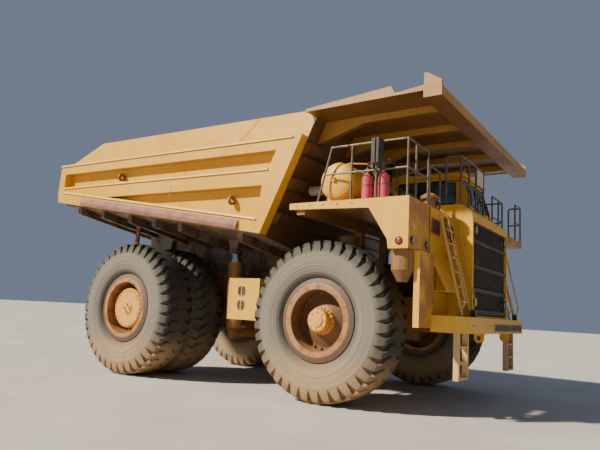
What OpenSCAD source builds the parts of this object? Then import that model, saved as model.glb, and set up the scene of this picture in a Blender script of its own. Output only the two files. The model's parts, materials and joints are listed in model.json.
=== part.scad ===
// A rigid-frame mining dump truck, standing empty with its bed down.
// Lengths are millimetres: X points forward, Y to the truck's left and Z up.
// Places are worked out from the front axle, and place() then moves the truck so that
// the origin lies on the ground under the middle of its overall length.

/* [Running gear] */
// Distance between the front and the rear axle
wheelbase = 5180; // [5120:10:5240]
// Outside diameter of a tyre, over its lugs
tyre_d = 3060; // [3020:10:3080]
// Width of a tyre over its sidewalls
tyre_w = 930; // [900:5:940]
// Diameter of the rim's seat for the tyre
rim_d = 1300; // [1280:5:1320]
// Width between the flanges of a rim
rim_w = 610; // [590:5:630]
// Height of a rim's flange above its seat
flange_h = 140; // [125:5:150]
// Distance between the centre planes of the front tyres
front_track = 4850; // [4830:10:4900]
// Distance between the middles of the two rear tyre pairs
rear_track = 4285; // [4270:5:4320]
// Distance between the two tyres of a rear pair
dual_pitch = 1060; // [1040:5:1080]
// Gap between a front strut's collar and its tyre
kingpin_gap = 50; // [45:1:60]
// Radius of the wheel spindle and of the strut's piston rod
spindle_r = 150; // [140:2:160]
// Outside radius of a front strut
strut_r = 210; // [200:2:215]
// Length of the steering arms, from kingpin to tie rod
steer_arm = 500; // [490:5:520]
// Distance from the kingpin to the steering cylinder's pin
steer_pin = 400; // [390:5:405]

/* [Frame] */
// Distance over the outer faces of the frame rails
frame_w = 1500; // [1440:10:1520]
// Width of one frame rail
rail_w = 350; // [300:10:370]
// Height of the frame's underside in front
frame_low_z = 1400; // [1395:5:1420]
// Height of the top of the frame rails in front
frame_top_z = 2100; // [2060:10:2140]
// Distance from the rear axle back to the bed's hinge pin
hinge_back = 1270; // [1240:5:1300]
// Height of the bed's hinge pin
hinge_z = 2450; // [2430:5:2470]
// Radius of the bed's hinge pin
hinge_pin_r = 75; // [65:1:85]

/* [Bed] */
// Width of the bed over its side ribs
bed_w = 5890; // [5800:10:5960]
// Depth of the ribs outside the side sheets
rib_depth = 205; // [180:5:220]
// Thickness of the bed's sheets
bed_plate = 25; // [20:1:32]
// Distance from the rear axle back to the bed's tail
tail_back = 3410; // [3350:10:3460]
// Height of the bed's bottom edge at its front corner
bed_low_z = 3190; // [3170:5:3210]
// Distance from the front axle back to that corner
bed_low_back = 1390; // [1370:5:1410]
// Rise of the floor towards the tail, in degrees
floor_rise = 8.6; // [8.4:0.1:8.9]
// Fall of the floor from its sides to its middle, in degrees
floor_fall = 8; // [7.5:0.1:8.5]
// Forward lean of the front wall from upright, in degrees
wall_lean = 25; // [24:0.5:26]
// Rise of the side rails towards the tail, in degrees
rail_rise = 1; // [0.8:0.1:1.2]
// Height of the top of the bed's sides at the front
bed_top_z = 5710; // [5690:5:5730]
// Height of the flat side extension above the top rail
extension_h = 545; // [520:5:560]
// Height of the top rail
top_rail_h = 270; // [250:5:290]
// Height of the recess between the top rail and the middle rib
recess_h = 360; // [340:5:380]
// Height of the middle rib
mid_rib_h = 360; // [340:5:380]
// Height of the bottom rail
low_rail_h = 320; // [300:5:340]
// Width of the canopy
canopy_w = 6180; // [6140:10:6240]
// Height of the canopy's sheet
canopy_z = 5600; // [5590:5:5620]
// Reach of the canopy ahead of the front axle
canopy_reach = 2440; // [2410:10:2480]
// Height of the beams under the canopy
canopy_beam_h = 180; // [160:10:200]
// Number of ribs under the canopy
canopy_ribs = 5; // [3:2:7]

/* [Front end] */
// Distance from the front axle to the front of the bumper
bumper_reach = 2600; // [2580:5:2620]
// Height of the bumper's top
bumper_z = 1745; // [1735:5:1755]
// Height of the bumper
bumper_h = 290; // [270:5:310]
// Width of the bumper's straight face
bumper_w = 3780; // [3700:10:3840]
// Distance from the front axle to the grille's face
grille_reach = 2420; // [2410:5:2430]
// Width of the radiator housing
hood_w = 2500; // [2460:10:2520]
// Height of the radiator housing's top
hood_top_z = 3900; // [3880:5:3920]
// Depth of the radiator housing
hood_depth = 720; // [680:10:730]
// Height of the deck
deck_z = 3720; // [3710:5:3740]
// Depth of the deck's edge
deck_edge = 120; // [100:5:140]
// Half of the deck's width
deck_half = 3100; // [3080:5:3120]
// Distance from the front axle to the front of the decks
deck_reach = 1910; // [1900:5:1930]
// Distance from the front axle back to the rear of the decks
deck_back = 560; // [540:5:580]
// Thickness of the deck's sheets
deck_plate = 20; // [15:1:25]
// Height of the drop panels at the decks' front corners
drop_h = 900; // [880:5:910]
// Outside radius of the handrails
handrail_r = 21; // [18:1:25]
// Height of the handrails over the deck
handrail_h = 1030; // [1010:5:1050]

/* [Cab] */
// Width of the cab
cab_w = 1600; // [1560:10:1640]
// Distance of the cab's middle from the truck's middle
cab_y = 1150; // [1140:5:1170]
// Distance from the front axle to the foot of the windscreen
cab_reach = 1880; // [1870:5:1890]
// Length of the cab at its floor
cab_len = 1930; // [1900:10:1980]
// Height of the cab's roof over the deck
cab_h = 1250; // [1230:5:1270]
// Thickness of the cab's walls
cab_wall = 50; // [40:2:60]
// Thickness of the window glass
glass_t = 10; // [8:1:14]

/* [Tanks] */
// Radius of the air tank on the right deck
air_tank_r = 365; // [350:5:375]
// Length of the air tank
air_tank_len = 1000; // [950:10:1050]
// Length of the side tanks
side_tank_len = 880; // [840:10:890]
// Height of the side tanks
side_tank_h = 920; // [880:10:940]
// Distance of the side tanks' outer faces from the middle
side_tank_y = 2000; // [1980:5:2020]

/* [Hoist] */
// Outside radius of a hoist cylinder
hoist_r = 185; // [175:1:190]
// Distance of the hoist cylinders from the middle
hoist_y = 1450; // [1440:5:1460]
// Distance from the front axle back to the cylinders' lower pins
hoist_back = 3140; // [3130:5:3150]
// Height of the cylinders' lower pins
hoist_low_z = 1060; // [1050:5:1070]
// Distance from the front axle back to the cylinders' upper pins
hoist_top_back = 3230; // [3220:5:3240]
// Height of the cylinders' upper pins
hoist_high_z = 3060; // [3050:5:3070]

/* [Hidden] */
$fn = 48;

paint = "#D8A13E";
dark_paint = "#8A6530";
rust = "#7A4A2E";
rubber = "#5A5A52";
steel = "#6E6A64";
bright = "#B8B8B4";
glass_blue = "#6E9AA0";
black = "#2B2622";
red = "#B23A48";
lens = "#E8E4D8";

// Clearances: of a running pin, of a piece on its seat, and of a tyre on its rim
run_gap = 0.8;
seat_gap = 0.3;
bead_gap = 0.5;

tyre_r = tyre_d / 2;
rim_r = rim_d / 2;
rear_x = -wheelbase;
tail_x = rear_x - tail_back;
x_middle = (bumper_reach + tail_x) / 2;

module place() {
    translate([-x_middle, 0, 0]) children();
}

// A block between two corners, given as ranges along X, Y and Z
module block(x, y, z) {
    translate([x[0], y[0], z[0]]) cube([x[1] - x[0], y[1] - y[0], z[1] - z[0]]);
}

// An outline in X and Z, extruded along Y
module along_y(points, y) {
    translate([0, y[1], 0]) rotate([90, 0, 0]) linear_extrude(y[1] - y[0]) polygon(points);
}

// An outline in X and Y, extruded along Z
module along_z(points, z) {
    translate([0, 0, z[0]]) linear_extrude(z[1] - z[0]) polygon(points);
}

// A round bar from one point to another
module bar(a, b, r) {
    d = b - a;
    translate(a) rotate([0, acos(d[2] / norm(d)), atan2(d[1], d[0])]) cylinder(h = norm(d), r = r);
}

// A tube through points, with a ball at each bend
module bent_tube(points, r) {
    for (i = [0 : len(points) - 2]) bar(points[i], points[i + 1], r);
    if (len(points) > 2) for (i = [1 : len(points) - 2]) translate(points[i]) sphere(r = r);
}

// The same piece on the truck's right and left
module both_sides() {
    children();
    mirror([0, 1, 0]) children();
}

module left_side() {
    mirror([0, 1, 0]) children();
}

// An outline of radius against outboard distance, turned about an axle on the right side
module turned(points, x, y, z) {
    translate([x, y, z]) rotate([90, 0, 0]) rotate_extrude() polygon(points);
}

// Wheels and tyres

flange_r = rim_r + flange_h;
flange_t = 60;
lug_h = 90;

// Half of a tyre's section, from its bead to its crown, as [radius, distance from its centre plane]
tyre_half = [
    [rim_r + bead_gap, rim_w / 2 - bead_gap],
    [flange_r + bead_gap, rim_w / 2 - bead_gap],
    [flange_r + 10, rim_w / 2 + flange_t - 5],
    [flange_r + 60, tyre_w / 2 - 60],
    [flange_r + 180, tyre_w / 2 - 14],
    [flange_r + 310, tyre_w / 2],
    [flange_r + 470, tyre_w / 2 - 14],
    [tyre_r - 160, tyre_w / 2 - 40],
    [tyre_r - lug_h, tyre_w / 2 - 62],
    [tyre_r - 30, tyre_w / 2 - 80],
    [tyre_r, tyre_w / 2 - 115]
];

function both_halves(half, at) = concat(
    [for (p = half) [p[0], at + p[1]]],
    [for (i = [len(half) - 1 : -1 : 0]) [half[i][0], at - half[i][1]]]
);

module tyre(x, y, at) {
    color(rubber) turned(both_halves(tyre_half, at), x, y, tyre_r);
}

front_y = -front_track / 2;
rear_y = -rear_track / 2;
half_rim = rim_w / 2;
hub_r = 212;
dish_r = rim_r - 80;
gutter_r = rim_r + 18;
gutter_t = 30;

// A front rim: flanges, deep dish and hub, with a blind bore for the spindle
front_rim_outline = [
    [0, 260], [0, 372], [hub_r - 17, 372], [hub_r, 352], [hub_r + 13, 190], [dish_r - 70, 30], [dish_r, 30],
    [dish_r, half_rim + flange_t + gutter_t], [gutter_r, half_rim + flange_t + gutter_t],
    [flange_r - 10, half_rim + flange_t], [flange_r, half_rim + flange_t - 20], [flange_r, half_rim],
    [rim_r, half_rim], [rim_r, -half_rim], [flange_r, -half_rim], [flange_r, -half_rim - flange_t + 20],
    [rim_r - 50, -half_rim - flange_t], [rim_r - 50, -25], [hub_r + 28, -25], [hub_r + 28, -330],
    [spindle_r + run_gap, -330], [spindle_r + run_gap, 260]
];

module front_rim() {
    color(rust) turned(front_rim_outline, 0, front_y, tyre_r);
}

axle_tube_r = 350;
drive_r = 460;
outer_at = dual_pitch / 2;
inner_at = -dual_pitch / 2;
pair_out = outer_at + half_rim + flange_t;

// The two rear rims of a side with the final drive that carries them
rear_rim_outline = [
    [0, 740], [0, 830], [150, 830], [150, 812], [drive_r - 20, 812], [drive_r, 792], [drive_r, 500],
    [rim_r - 50, 500], [rim_r - 50, pair_out + gutter_t], [gutter_r, pair_out + gutter_t],
    [flange_r - 10, pair_out], [flange_r, pair_out - 20], [flange_r, outer_at + half_rim],
    [rim_r, outer_at + half_rim], [rim_r, outer_at - half_rim],
    [flange_r, outer_at - half_rim], [flange_r, outer_at - half_rim - flange_t],
    [rim_r + 40, outer_at - half_rim - flange_t], [rim_r + 40, inner_at + half_rim + flange_t],
    [flange_r, inner_at + half_rim + flange_t], [flange_r, inner_at + half_rim],
    [rim_r, inner_at + half_rim], [rim_r, inner_at - half_rim], [flange_r, inner_at - half_rim],
    [flange_r, -pair_out + 20], [rim_r - 50, -pair_out], [rim_r - 50, 440], [drive_r + 10, 440],
    [drive_r + 10, -700], [axle_tube_r + run_gap, -700], [axle_tube_r + run_gap, 740]
];

module rear_rims() {
    color(rust) turned(rear_rim_outline, rear_x, rear_y, tyre_r);
}

module rear_tyres() {
    tyre(rear_x, rear_y, outer_at);
    tyre(rear_x, rear_y, inner_at);
}

// Steering and suspension

collar_r = strut_r + 20;
kp_y = -(front_track / 2 - tyre_w / 2 - kingpin_gap - collar_r);
strut_low_z = tyre_r + 460;
strut_top_z = tyre_r + 1720;
strut_arm_z = [strut_low_z + 300, strut_low_z + 800];
knuckle_top_z = tyre_r + 320;
knuckle_r = strut_r + 30;
arm_z = [tyre_r - 410, tyre_r - 330];
arm_half = 90;
pin_r = 36;
brake_r = 400;
tie_gap = 10;
tie_z = [arm_z[0] - tie_gap - 90, arm_z[0] - tie_gap];

module front_strut() {
    difference() {
        union() {
            translate([0, kp_y, strut_low_z]) cylinder(h = strut_top_z - strut_low_z, r = strut_r);
            translate([0, kp_y, strut_low_z]) cylinder(h = 120, r = collar_r);
            translate([0, kp_y, strut_arm_z[1] + 20]) cylinder(h = 100, r = collar_r);
        }
        translate([0, kp_y, strut_low_z - 1]) cylinder(h = 340, r = spindle_r + run_gap);
    }
}

rear_strut_x = rear_x - 560;
rear_strut_y = 575;
rear_strut_r = 150;
rail_rear_z = 2250;
strut_seat_z = tyre_r + 230;

module rear_strut() {
    translate([rear_strut_x, -rear_strut_y, strut_seat_z]) cylinder(h = 260, r = rear_strut_r - 40);
    translate([rear_strut_x, -rear_strut_y, strut_seat_z + 200])
        cylinder(h = rail_rear_z - strut_seat_z - 200, r = rear_strut_r);
}

module struts() place() color(dark_paint) both_sides() {
    front_strut();
    rear_strut();
}

// A front knuckle: piston rod, block, brake, spindle and steering arm with the tie rod's pin
module knuckle() place() color(dark_paint) {
    translate([0, kp_y, arm_z[0]]) cylinder(h = knuckle_top_z - arm_z[0], r = knuckle_r);
    translate([0, kp_y, knuckle_top_z - 10]) cylinder(h = strut_low_z + 310 - knuckle_top_z, r = spindle_r);
    bar([0, kp_y, tyre_r], [0, front_y - 240, tyre_r], spindle_r);
    bar([0, front_y + 560, tyre_r], [0, front_y + 345, tyre_r], brake_r);
    block([-steer_arm, 0], [kp_y - arm_half, kp_y + arm_half], arm_z);
    translate([-steer_arm, kp_y, arm_z[0]]) cylinder(h = arm_z[1] - arm_z[0], r = arm_half);
    translate([-steer_arm, kp_y, tie_z[0]]) cylinder(h = arm_z[0] + 10 - tie_z[0], r = pin_r);
}

module knuckle_right() knuckle();
module knuckle_left() left_side() knuckle();

module tie_rod() place() color(steel) difference() {
    union() {
        bar([-steer_arm, kp_y, (tie_z[0] + tie_z[1]) / 2], [-steer_arm, -kp_y, (tie_z[0] + tie_z[1]) / 2], 42);
        both_sides() translate([-steer_arm, kp_y, tie_z[0]]) cylinder(h = tie_z[1] - tie_z[0], r = 85);
    }
    both_sides() translate([-steer_arm, kp_y, tie_z[0] - 1]) cylinder(h = tie_z[1] - tie_z[0] + 2, r = pin_r + run_gap);
}

steer_cyl_z = arm_z[1] + 65;
steer_cyl_r = 55;
steer_rod_r = 30;
steer_base_y = -300;
steer_mouth_y = -1200;
steer_bottom_y = -520;
steer_piston_y = -790;

module steer_barrel() place() color(dark_paint) difference() {
    union() {
        translate([-steer_pin, steer_base_y, steer_cyl_z - 45]) cylinder(h = 90, r = 80);
        bar([-steer_pin, steer_base_y - 60, steer_cyl_z], [-steer_pin, steer_mouth_y, steer_cyl_z], steer_cyl_r);
    }
    translate([-steer_pin, steer_base_y, steer_cyl_z - 46]) cylinder(h = 92, r = pin_r + run_gap);
    bar([-steer_pin, steer_bottom_y, steer_cyl_z], [-steer_pin, steer_mouth_y - 1, steer_cyl_z], steer_rod_r + run_gap);
}

// The rod's eye rides just above the steering arm
module steer_rod() place() color(bright) difference() {
    union() {
        bar([-steer_pin, kp_y + 60, steer_cyl_z], [-steer_pin, steer_piston_y, steer_cyl_z], steer_rod_r);
        translate([-steer_pin, kp_y, steer_cyl_z - 50]) cylinder(h = 100, r = 75);
    }
    translate([-steer_pin, kp_y, steer_cyl_z - 51]) cylinder(h = 102, r = pin_r);
}

module steer_barrel_right() steer_barrel();
module steer_barrel_left() left_side() steer_barrel();
module steer_rod_right() steer_rod();
module steer_rod_left() left_side() steer_rod();

// Frame

rail_out = frame_w / 2;
rail_in = rail_out - rail_w;
hinge_x = rear_x - hinge_back;
rail_end_r = 135;
rail_end_x = hinge_x - rail_end_r;
rail_rear_top_z = hinge_z + 140;
bumper_back = 2110;
hoist_x = -hoist_back;
hoist_tube_r = 130;
hoist_pin_r = 60;
hoist_eye_half = 80;

// The rail's side outline, from the front along its underside and back along its top
rail_outline = [
    [bumper_back, frame_low_z], [hoist_x - 150, frame_low_z], [rear_x + 900, rail_rear_z - 250],
    [rear_x + 250, rail_rear_z], [hinge_x - 60, rail_rear_z],
    for (a = [195 : -15 : 90]) [hinge_x + rail_end_r * cos(a), hinge_z + rail_end_r * sin(a)],
    [rear_x + 1200, rail_rear_top_z - 60],
    [-2600, frame_top_z + 220], [-1200, frame_top_z], [1600, frame_top_z], [1660, bumper_z], [bumper_back, bumper_z]
];

module frame_rail() {
    difference() {
        along_y(rail_outline, [-rail_out, -rail_in]);
        translate([hinge_x + 160, -rail_in + 1, rail_rear_z + 110]) rotate([90, 0, 0])
            cylinder(h = rail_w + 2, r = 50);
    }
    // hinge pin of the bed
    bar([hinge_x, -rail_in + 30, hinge_z], [hinge_x, -hinge_ear_y[1] - 25, hinge_z], hinge_pin_r);
}

hinge_ear_y = [rail_out + 20, rail_out + 110];

// Drop bracket and half of the torque tube that the hoist cylinders stand on
module hoist_seat() {
    along_y([[hoist_x - 300, frame_low_z + 10], [hoist_x - 150, hoist_low_z - 60], [hoist_x + 150, hoist_low_z - 60],
        [hoist_x + 300, frame_low_z + 10]], [-rail_out + 20, -rail_out + 120]);
    bar([hoist_x, 0, hoist_low_z], [hoist_x, -hoist_y + hoist_eye_half + 15, hoist_low_z], hoist_tube_r);
    bar([hoist_x, -hoist_y + hoist_eye_half + 16, hoist_low_z], [hoist_x, -hoist_y - hoist_eye_half - 10, hoist_low_z],
        hoist_pin_r);
    bar([hoist_x, -hoist_y - hoist_eye_half - 9, hoist_low_z], [hoist_x, -hoist_y - hoist_eye_half - 30, hoist_low_z],
        hoist_pin_r + 25);
}

column_x = [-420, 1340];
column_y = [rail_out - 200, rail_out - 20];
column_t = 180;
beam_z = [deck_z - deck_plate - 200, deck_z - deck_plate];
steer_plate_z = [frame_low_z - 60, frame_low_z + 10];
cross_tubes = [[bumper_back - 140, frame_low_z + 170, 130], [-1050, frame_low_z + 350, 100], [-2900, frame_low_z + 350, 120],
    [-3560, frame_low_z + 450, 130], [-4450, rail_rear_z + 50, 110], [-6200, rail_rear_z + 130, 100]];

module frame() place() color(dark_paint) {
    both_sides() {
        frame_rail();
        hoist_seat();
        block([-240, 240], [kp_y + strut_r + seat_gap, -rail_out + 30], strut_arm_z);
        along_y([[-400, frame_top_z - 20], [400, frame_top_z - 20], [240, strut_arm_z[1]], [-240, strut_arm_z[1]]],
            [-rail_out, -rail_out + 120]);
        for (x = column_x) block([x, x + column_t], [-column_y[1], -column_y[0]], [frame_top_z - 10, beam_z[0] + 10]);
        translate([-steer_pin, steer_base_y, steer_cyl_z - 50]) cylinder(h = frame_low_z - steer_cyl_z, r = pin_r);
    }
    for (x = column_x) block([x, x + column_t], [-deck_half + 60, deck_half - 60], beam_z);
    for (t = cross_tubes) bar([t[0], -rail_in - 30, t[1]], [t[0], rail_in + 30, t[1]], t[2]);
    block([-steer_pin - 110, -steer_pin + 110], [-rail_in - 60, rail_in + 60], steer_plate_z);
    rear_towing_eye();
}

tow_bore_r = 40;
tow_t = 70;
tow_x = rail_end_x - 95;

// Cross plate at the frame's tail with a towing eye
module rear_towing_eye() {
    z = rail_rear_z + 60;
    block([rail_end_x + 10, rail_end_x + 60], [-rail_in - 20, rail_in + 20], [z, z + 200]);
    difference() {
        union() {
            block([tow_x, rail_end_x + 20], [-tow_t / 2, tow_t / 2], [z + 20, z + 180]);
            translate([tow_x, tow_t / 2, z + 100]) rotate([90, 0, 0]) cylinder(h = tow_t, r = 80);
        }
        translate([tow_x, tow_t / 2 + 1, z + 100]) rotate([90, 0, 0]) cylinder(h = tow_t + 2, r = tow_bore_r);
    }
}

// Rear axle: banjo housing, tubes, brakes and the drawbar that locates it
drawbar_x = -3560 - 130 - seat_gap;

half_axle_outline = [
    [0, 0], [600, 0], [585, 130], [540, 260], [460, 380], [axle_tube_r, 520], [axle_tube_r, -rear_y - 900],
    [rim_r - 90, -rear_y - 900], [rim_r - 90, -rear_y - 720], [axle_tube_r, -rear_y - 720],
    [axle_tube_r, -rear_y + 700], [0, -rear_y + 700]
];

module rear_axle() place() color(dark_paint) {
    both_sides() {
        turned(half_axle_outline, rear_x, 0, tyre_r);
        block([rear_strut_x - 160, rear_x], [-rear_strut_y - 130, -rear_strut_y + 130], [strut_seat_z - 140, strut_seat_z]);
    }
    along_y([[rear_x, tyre_r - 240], [drawbar_x, frame_low_z + 330], [drawbar_x, frame_low_z + 570],
        [rear_x, tyre_r + 240]], [-rail_in + 40, rail_in - 40]);
}

engine_x = [-900, grille_reach - hood_depth - 10];
gearbox_x = [-2740, -1200];

module engine() place() color(steel) {
    block(engine_x, [-rail_in, rail_in], [steer_plate_z[1], deck_z - 900]);
    block(gearbox_x, [-rail_in, rail_in], [frame_low_z, frame_top_z + 100]);
}

// Radiator housing with its open front

hood_back_x = grille_reach - hood_depth;
hood_half = hood_w / 2;
hood_t = 60;
brow_z = hood_top_z - 330;
sill_z = bumper_z + 40;
hood_outline = [
    [hood_back_x, bumper_z], [grille_reach, bumper_z], [grille_reach, brow_z], [grille_reach - 20, brow_z + 180],
    [grille_reach - 220, hood_top_z], [hood_back_x, hood_top_z]
];

module hood() place() color(paint) difference() {
    along_y(hood_outline, [-hood_half, hood_half]);
    block([hood_back_x - 1, grille_reach + 1], [-hood_half + hood_t, hood_half - hood_t], [sill_z, brow_z]);
}

// Heights of the grille's bands, as shares of its opening
grille_bands = [0.02, 0.25, 0.5, 0.77];
grille_half = hood_half - hood_t;

module grille() place() color(black) {
    block([grille_reach - 90, grille_reach - 60], [-grille_half, grille_half], [sill_z, brow_z]);
    for (b = grille_bands)
        block([grille_reach - 61, grille_reach - 15], [-grille_half, grille_half],
            [sill_z + b * (brow_z - sill_z), sill_z + b * (brow_z - sill_z) + 70]);
}

lamp_r = 85;

module lamps() place() color(lens) both_sides() {
    for (z = [brow_z - 150, sill_z + 250])
        translate([grille_reach - 60 + seat_gap, -grille_half + 150, z]) rotate([0, 90, 0]) cylinder(h = 70, r = lamp_r);
    for (y = [2300, deck_half - 150])
        translate([deck_reach + seat_gap, -y, deck_z - drop_h + 150]) rotate([0, 90, 0]) cylinder(h = 40, r = 50);
}

// Bumper with swept ends and two towing eyes under it

bumper_half = bumper_w / 2;
bumper_low_z = bumper_z - bumper_h;
eye_y = 900;
eye_x = bumper_reach - 150;
eye_z = bumper_low_z - 90;
post_x = [deck_reach - deck_plate, deck_reach + 90];
post_y = [2100, 2780];

module bumper() place() color(paint) {
    along_z([
        [bumper_back, 0], [bumper_back, -1950], [post_x[1], -post_y[0] - seat_gap], [post_x[1], -2240],
        [bumper_reach - 200, -2200], [bumper_reach, -bumper_half], [bumper_reach, 0]
    ], [bumper_low_z, bumper_z]);
    mirror([0, 1, 0]) along_z([
        [bumper_back, 0], [bumper_back, -1950], [post_x[1], -post_y[0] - seat_gap], [post_x[1], -2240],
        [bumper_reach - 200, -2200], [bumper_reach, -bumper_half], [bumper_reach, 0]
    ], [bumper_low_z, bumper_z]);
    both_sides() difference() {
        union() {
            block([eye_x - 90, eye_x + 90], [-eye_y - tow_t / 2, -eye_y + tow_t / 2], [eye_z, bumper_low_z + 10]);
            translate([eye_x, -eye_y + tow_t / 2, eye_z]) rotate([90, 0, 0]) cylinder(h = tow_t, r = 90);
        }
        translate([eye_x, -eye_y + tow_t / 2 + 1, eye_z]) rotate([90, 0, 0]) cylinder(h = tow_t + 2, r = tow_bore_r);
    }
}

// Decks over the front wheels, with drop panels and the posts that stand on the bumper

deck_in = hood_half + 10;
drop_shelf = 130;
drop_low_z = deck_z - drop_h;
fender_outline = [
    [-deck_back, deck_z - deck_plate], [-deck_back, deck_z - deck_edge], [deck_reach - 760, deck_z - deck_edge - 50],
    [deck_reach - 390, deck_z - 740], [deck_reach - 370, drop_low_z], [deck_reach, drop_low_z],
    [deck_reach, deck_z - deck_plate]
];

module fender() {
    block([-deck_back, deck_reach], [-deck_half, -deck_in], [deck_z - deck_plate, deck_z]);
    along_y(fender_outline, [-deck_half, -deck_half + deck_plate]);
    block([deck_reach - deck_plate, deck_reach], [-deck_half, -2170], [drop_low_z, deck_z]);
    block([deck_reach - 370, deck_reach], [-deck_half, -deck_half + drop_shelf], [drop_low_z, drop_low_z + deck_plate]);
    block([-deck_back, -deck_back + deck_plate], [-deck_half, -deck_in], [deck_z - deck_edge, deck_z]);
    block([hood_back_x, deck_reach], [-deck_in - deck_plate, -deck_in], [deck_z - deck_edge, deck_z]);
    block(post_x, [-post_y[1], -post_y[0]], [bumper_low_z + 60, drop_low_z]);
}

landing_x = 2300;
landing_y = [2000, 3200];

module deck() place() color(paint) {
    both_sides() fender();
    block([-deck_back, hood_back_x - 10], [-deck_in - 1, deck_in + 1], [deck_z - deck_plate, deck_z]);
    block([deck_reach - 1, landing_x], landing_y, [deck_z - 150, deck_z]);
}

// Cab

cab_right = cab_y - cab_w / 2;
cab_left = cab_y + cab_w / 2;
cab_back = cab_reach - cab_len;
cab_top = deck_z + cab_h;
sill_h = 480;
belt_z = deck_z + sill_h;
screen_lean = 230;
roof_t = 90;
head_z = cab_top - roof_t - 90;
cowl_x = hood_back_x - 10;
cowl_z = hood_top_z + 10;
cab_outline = [
    [cab_back, deck_z], [cowl_x, deck_z], [cowl_x, cowl_z], [cab_reach, cowl_z], [cab_reach, belt_z - 60],
    [cab_reach - screen_lean, cab_top - roof_t], [cab_back + 60, cab_top - roof_t], [cab_back, belt_z]
];
cab_inside = [
    [cab_back + cab_wall, deck_z + 40], [cowl_x - cab_wall, deck_z + 40], [cowl_x - cab_wall, cowl_z + cab_wall],
    [cab_reach - cab_wall, cowl_z + cab_wall], [cab_reach - cab_wall, belt_z - 60],
    [cab_reach - cab_wall - screen_lean, cab_top - roof_t + 1], [cab_back + 60 + cab_wall, cab_top - roof_t + 1],
    [cab_back + cab_wall, belt_z]
];
door_x = [cab_back + 330, cab_back + 1180];
door_z = [deck_z + 60, head_z + 60];
door_gap = 6;
side_windows = [[cab_back + 200, cab_back + 900], [cab_back + 990, cab_reach - screen_lean - 130]];

function screen_x(z) = cab_reach - screen_lean * (z - belt_z + 60) / (cab_top - roof_t - belt_z + 60);

module windscreen_opening(margin, x_in, x_out) {
    along_y([[screen_x(belt_z) - x_in, belt_z], [screen_x(belt_z) + x_out, belt_z],
        [screen_x(head_z) + x_out, head_z], [screen_x(head_z) - x_in, head_z]],
        [cab_right + 90 - margin, cab_left - 90 + margin]);
}

hinge_out = 26;
hinge_at = [door_x[0] - 20, cab_left + hinge_out];
hinge_heights = [deck_z + 250, deck_z + 850];
door_pin_r = 12;

module cab_shell() place() color(paint) {
    for (z = hinge_heights) {
        translate([hinge_at[0], hinge_at[1], z - 60]) cylinder(h = 180, r = door_pin_r);
        for (dz = [-60, 80]) {
            translate([hinge_at[0], hinge_at[1], z + dz]) cylinder(h = 40, r = 24);
            block([hinge_at[0] - 60, hinge_at[0]], [cab_left - 1, cab_left + hinge_out], [z + dz, z + dz + 40]);
        }
    }
    difference() {
        along_y(cab_outline, [cab_right, cab_left]);
        along_y(cab_inside, [cab_right + cab_wall, cab_left - cab_wall]);
        windscreen_opening(0, cab_wall + 60, 60);
        for (w = side_windows) block(w, [cab_right - 1, cab_right + cab_wall + 1], [belt_z + 60, head_z]);
        block([door_x[1] + 80, cab_reach - screen_lean - 130], [cab_left - cab_wall - 1, cab_left + 1], [belt_z + 60, head_z]);
        block(door_x, [cab_left - cab_wall - 1, cab_left + 1], door_z);
        block([cab_back - 1, cab_back + 160], [cab_right + 250, cab_left - 250], [belt_z + 60, head_z]);
    }
    block([cab_back + 20, cab_reach - screen_lean + 60], [cab_right - 30, cab_left + 30], [cab_top - roof_t, cab_top]);
}

module cab_glass() place() color(glass_blue) {
    g = seat_gap;
    windscreen_opening(-g, 30, -30 + glass_t);
    for (w = side_windows)
        block([w[0] + g, w[1] - g], [cab_right + 15, cab_right + 15 + glass_t], [belt_z + 60 + g, head_z - g]);
    block([door_x[1] + 80 + g, cab_reach - screen_lean - 130 - g], [cab_left - 15 - glass_t, cab_left - 15], [belt_z + 60 + g, head_z - g]);
}

module cab_door() place() color(paint) {
    difference() {
        block([door_x[0] + door_gap, door_x[1] - door_gap], [cab_left - cab_wall, cab_left],
            [door_z[0] + door_gap, door_z[1] - door_gap]);
        block([door_x[0] + 90, door_x[1] - 90], [cab_left - cab_wall - 1, cab_left + 1], [belt_z, door_z[1] - 90]);
    }
    for (z = hinge_heights) difference() {
        union() {
            translate([hinge_at[0], hinge_at[1], z - 20 + seat_gap]) cylinder(h = 100 - 2 * seat_gap, r = 24);
            block([hinge_at[0], door_x[0] + 70], [cab_left + 5, cab_left + hinge_out], [z - 14, z + 74]);
            block([door_x[0] + 20, door_x[0] + 70], [cab_left - 1, cab_left + hinge_out], [z - 14, z + 74]);
        }
        translate([hinge_at[0], hinge_at[1], z - 40]) cylinder(h = 140, r = door_pin_r + run_gap);
    }
}

module door_glass() place() color(glass_blue)
    block([door_x[0] + 90 + seat_gap, door_x[1] - 90 - seat_gap], [cab_left - 15 - glass_t, cab_left - 15],
        [belt_z + seat_gap, door_z[1] - 90 - seat_gap]);

seat_x = cab_back + 500;

module cab_interior() place() color(black) {
    z = deck_z + 40;
    block([seat_x, seat_x + 500], [cab_y - 250, cab_y + 250], [z + 300, z + 420]);
    block([seat_x - 120, seat_x], [cab_y - 230, cab_y + 230], [z + 330, z + 1000]);
    block([seat_x + 80, seat_x + 420], [cab_y - 180, cab_y + 180], [z, z + 300]);
    block([cab_reach - 420, cab_reach - cab_wall], [cab_right + cab_wall, cab_left - cab_wall],
        [cowl_z + cab_wall, belt_z - 60]);
    block([cowl_x - cab_wall - 160, cowl_x - cab_wall], [cab_y - 200, cab_y + 200], [z, cowl_z + cab_wall + 1]);
    bar([cab_reach - 380, cab_y, z + 360], [cab_reach - 570, cab_y, z + 634], 30);
    translate([cab_reach - 570, cab_y, z + 634]) rotate([0, -36, 0]) rotate_extrude() translate([220, 0]) circle(r = 18);
    bar([cab_reach - 570, cab_y - 215, z + 634], [cab_reach - 570, cab_y + 215, z + 634], 14);
}

// Handrails

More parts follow.
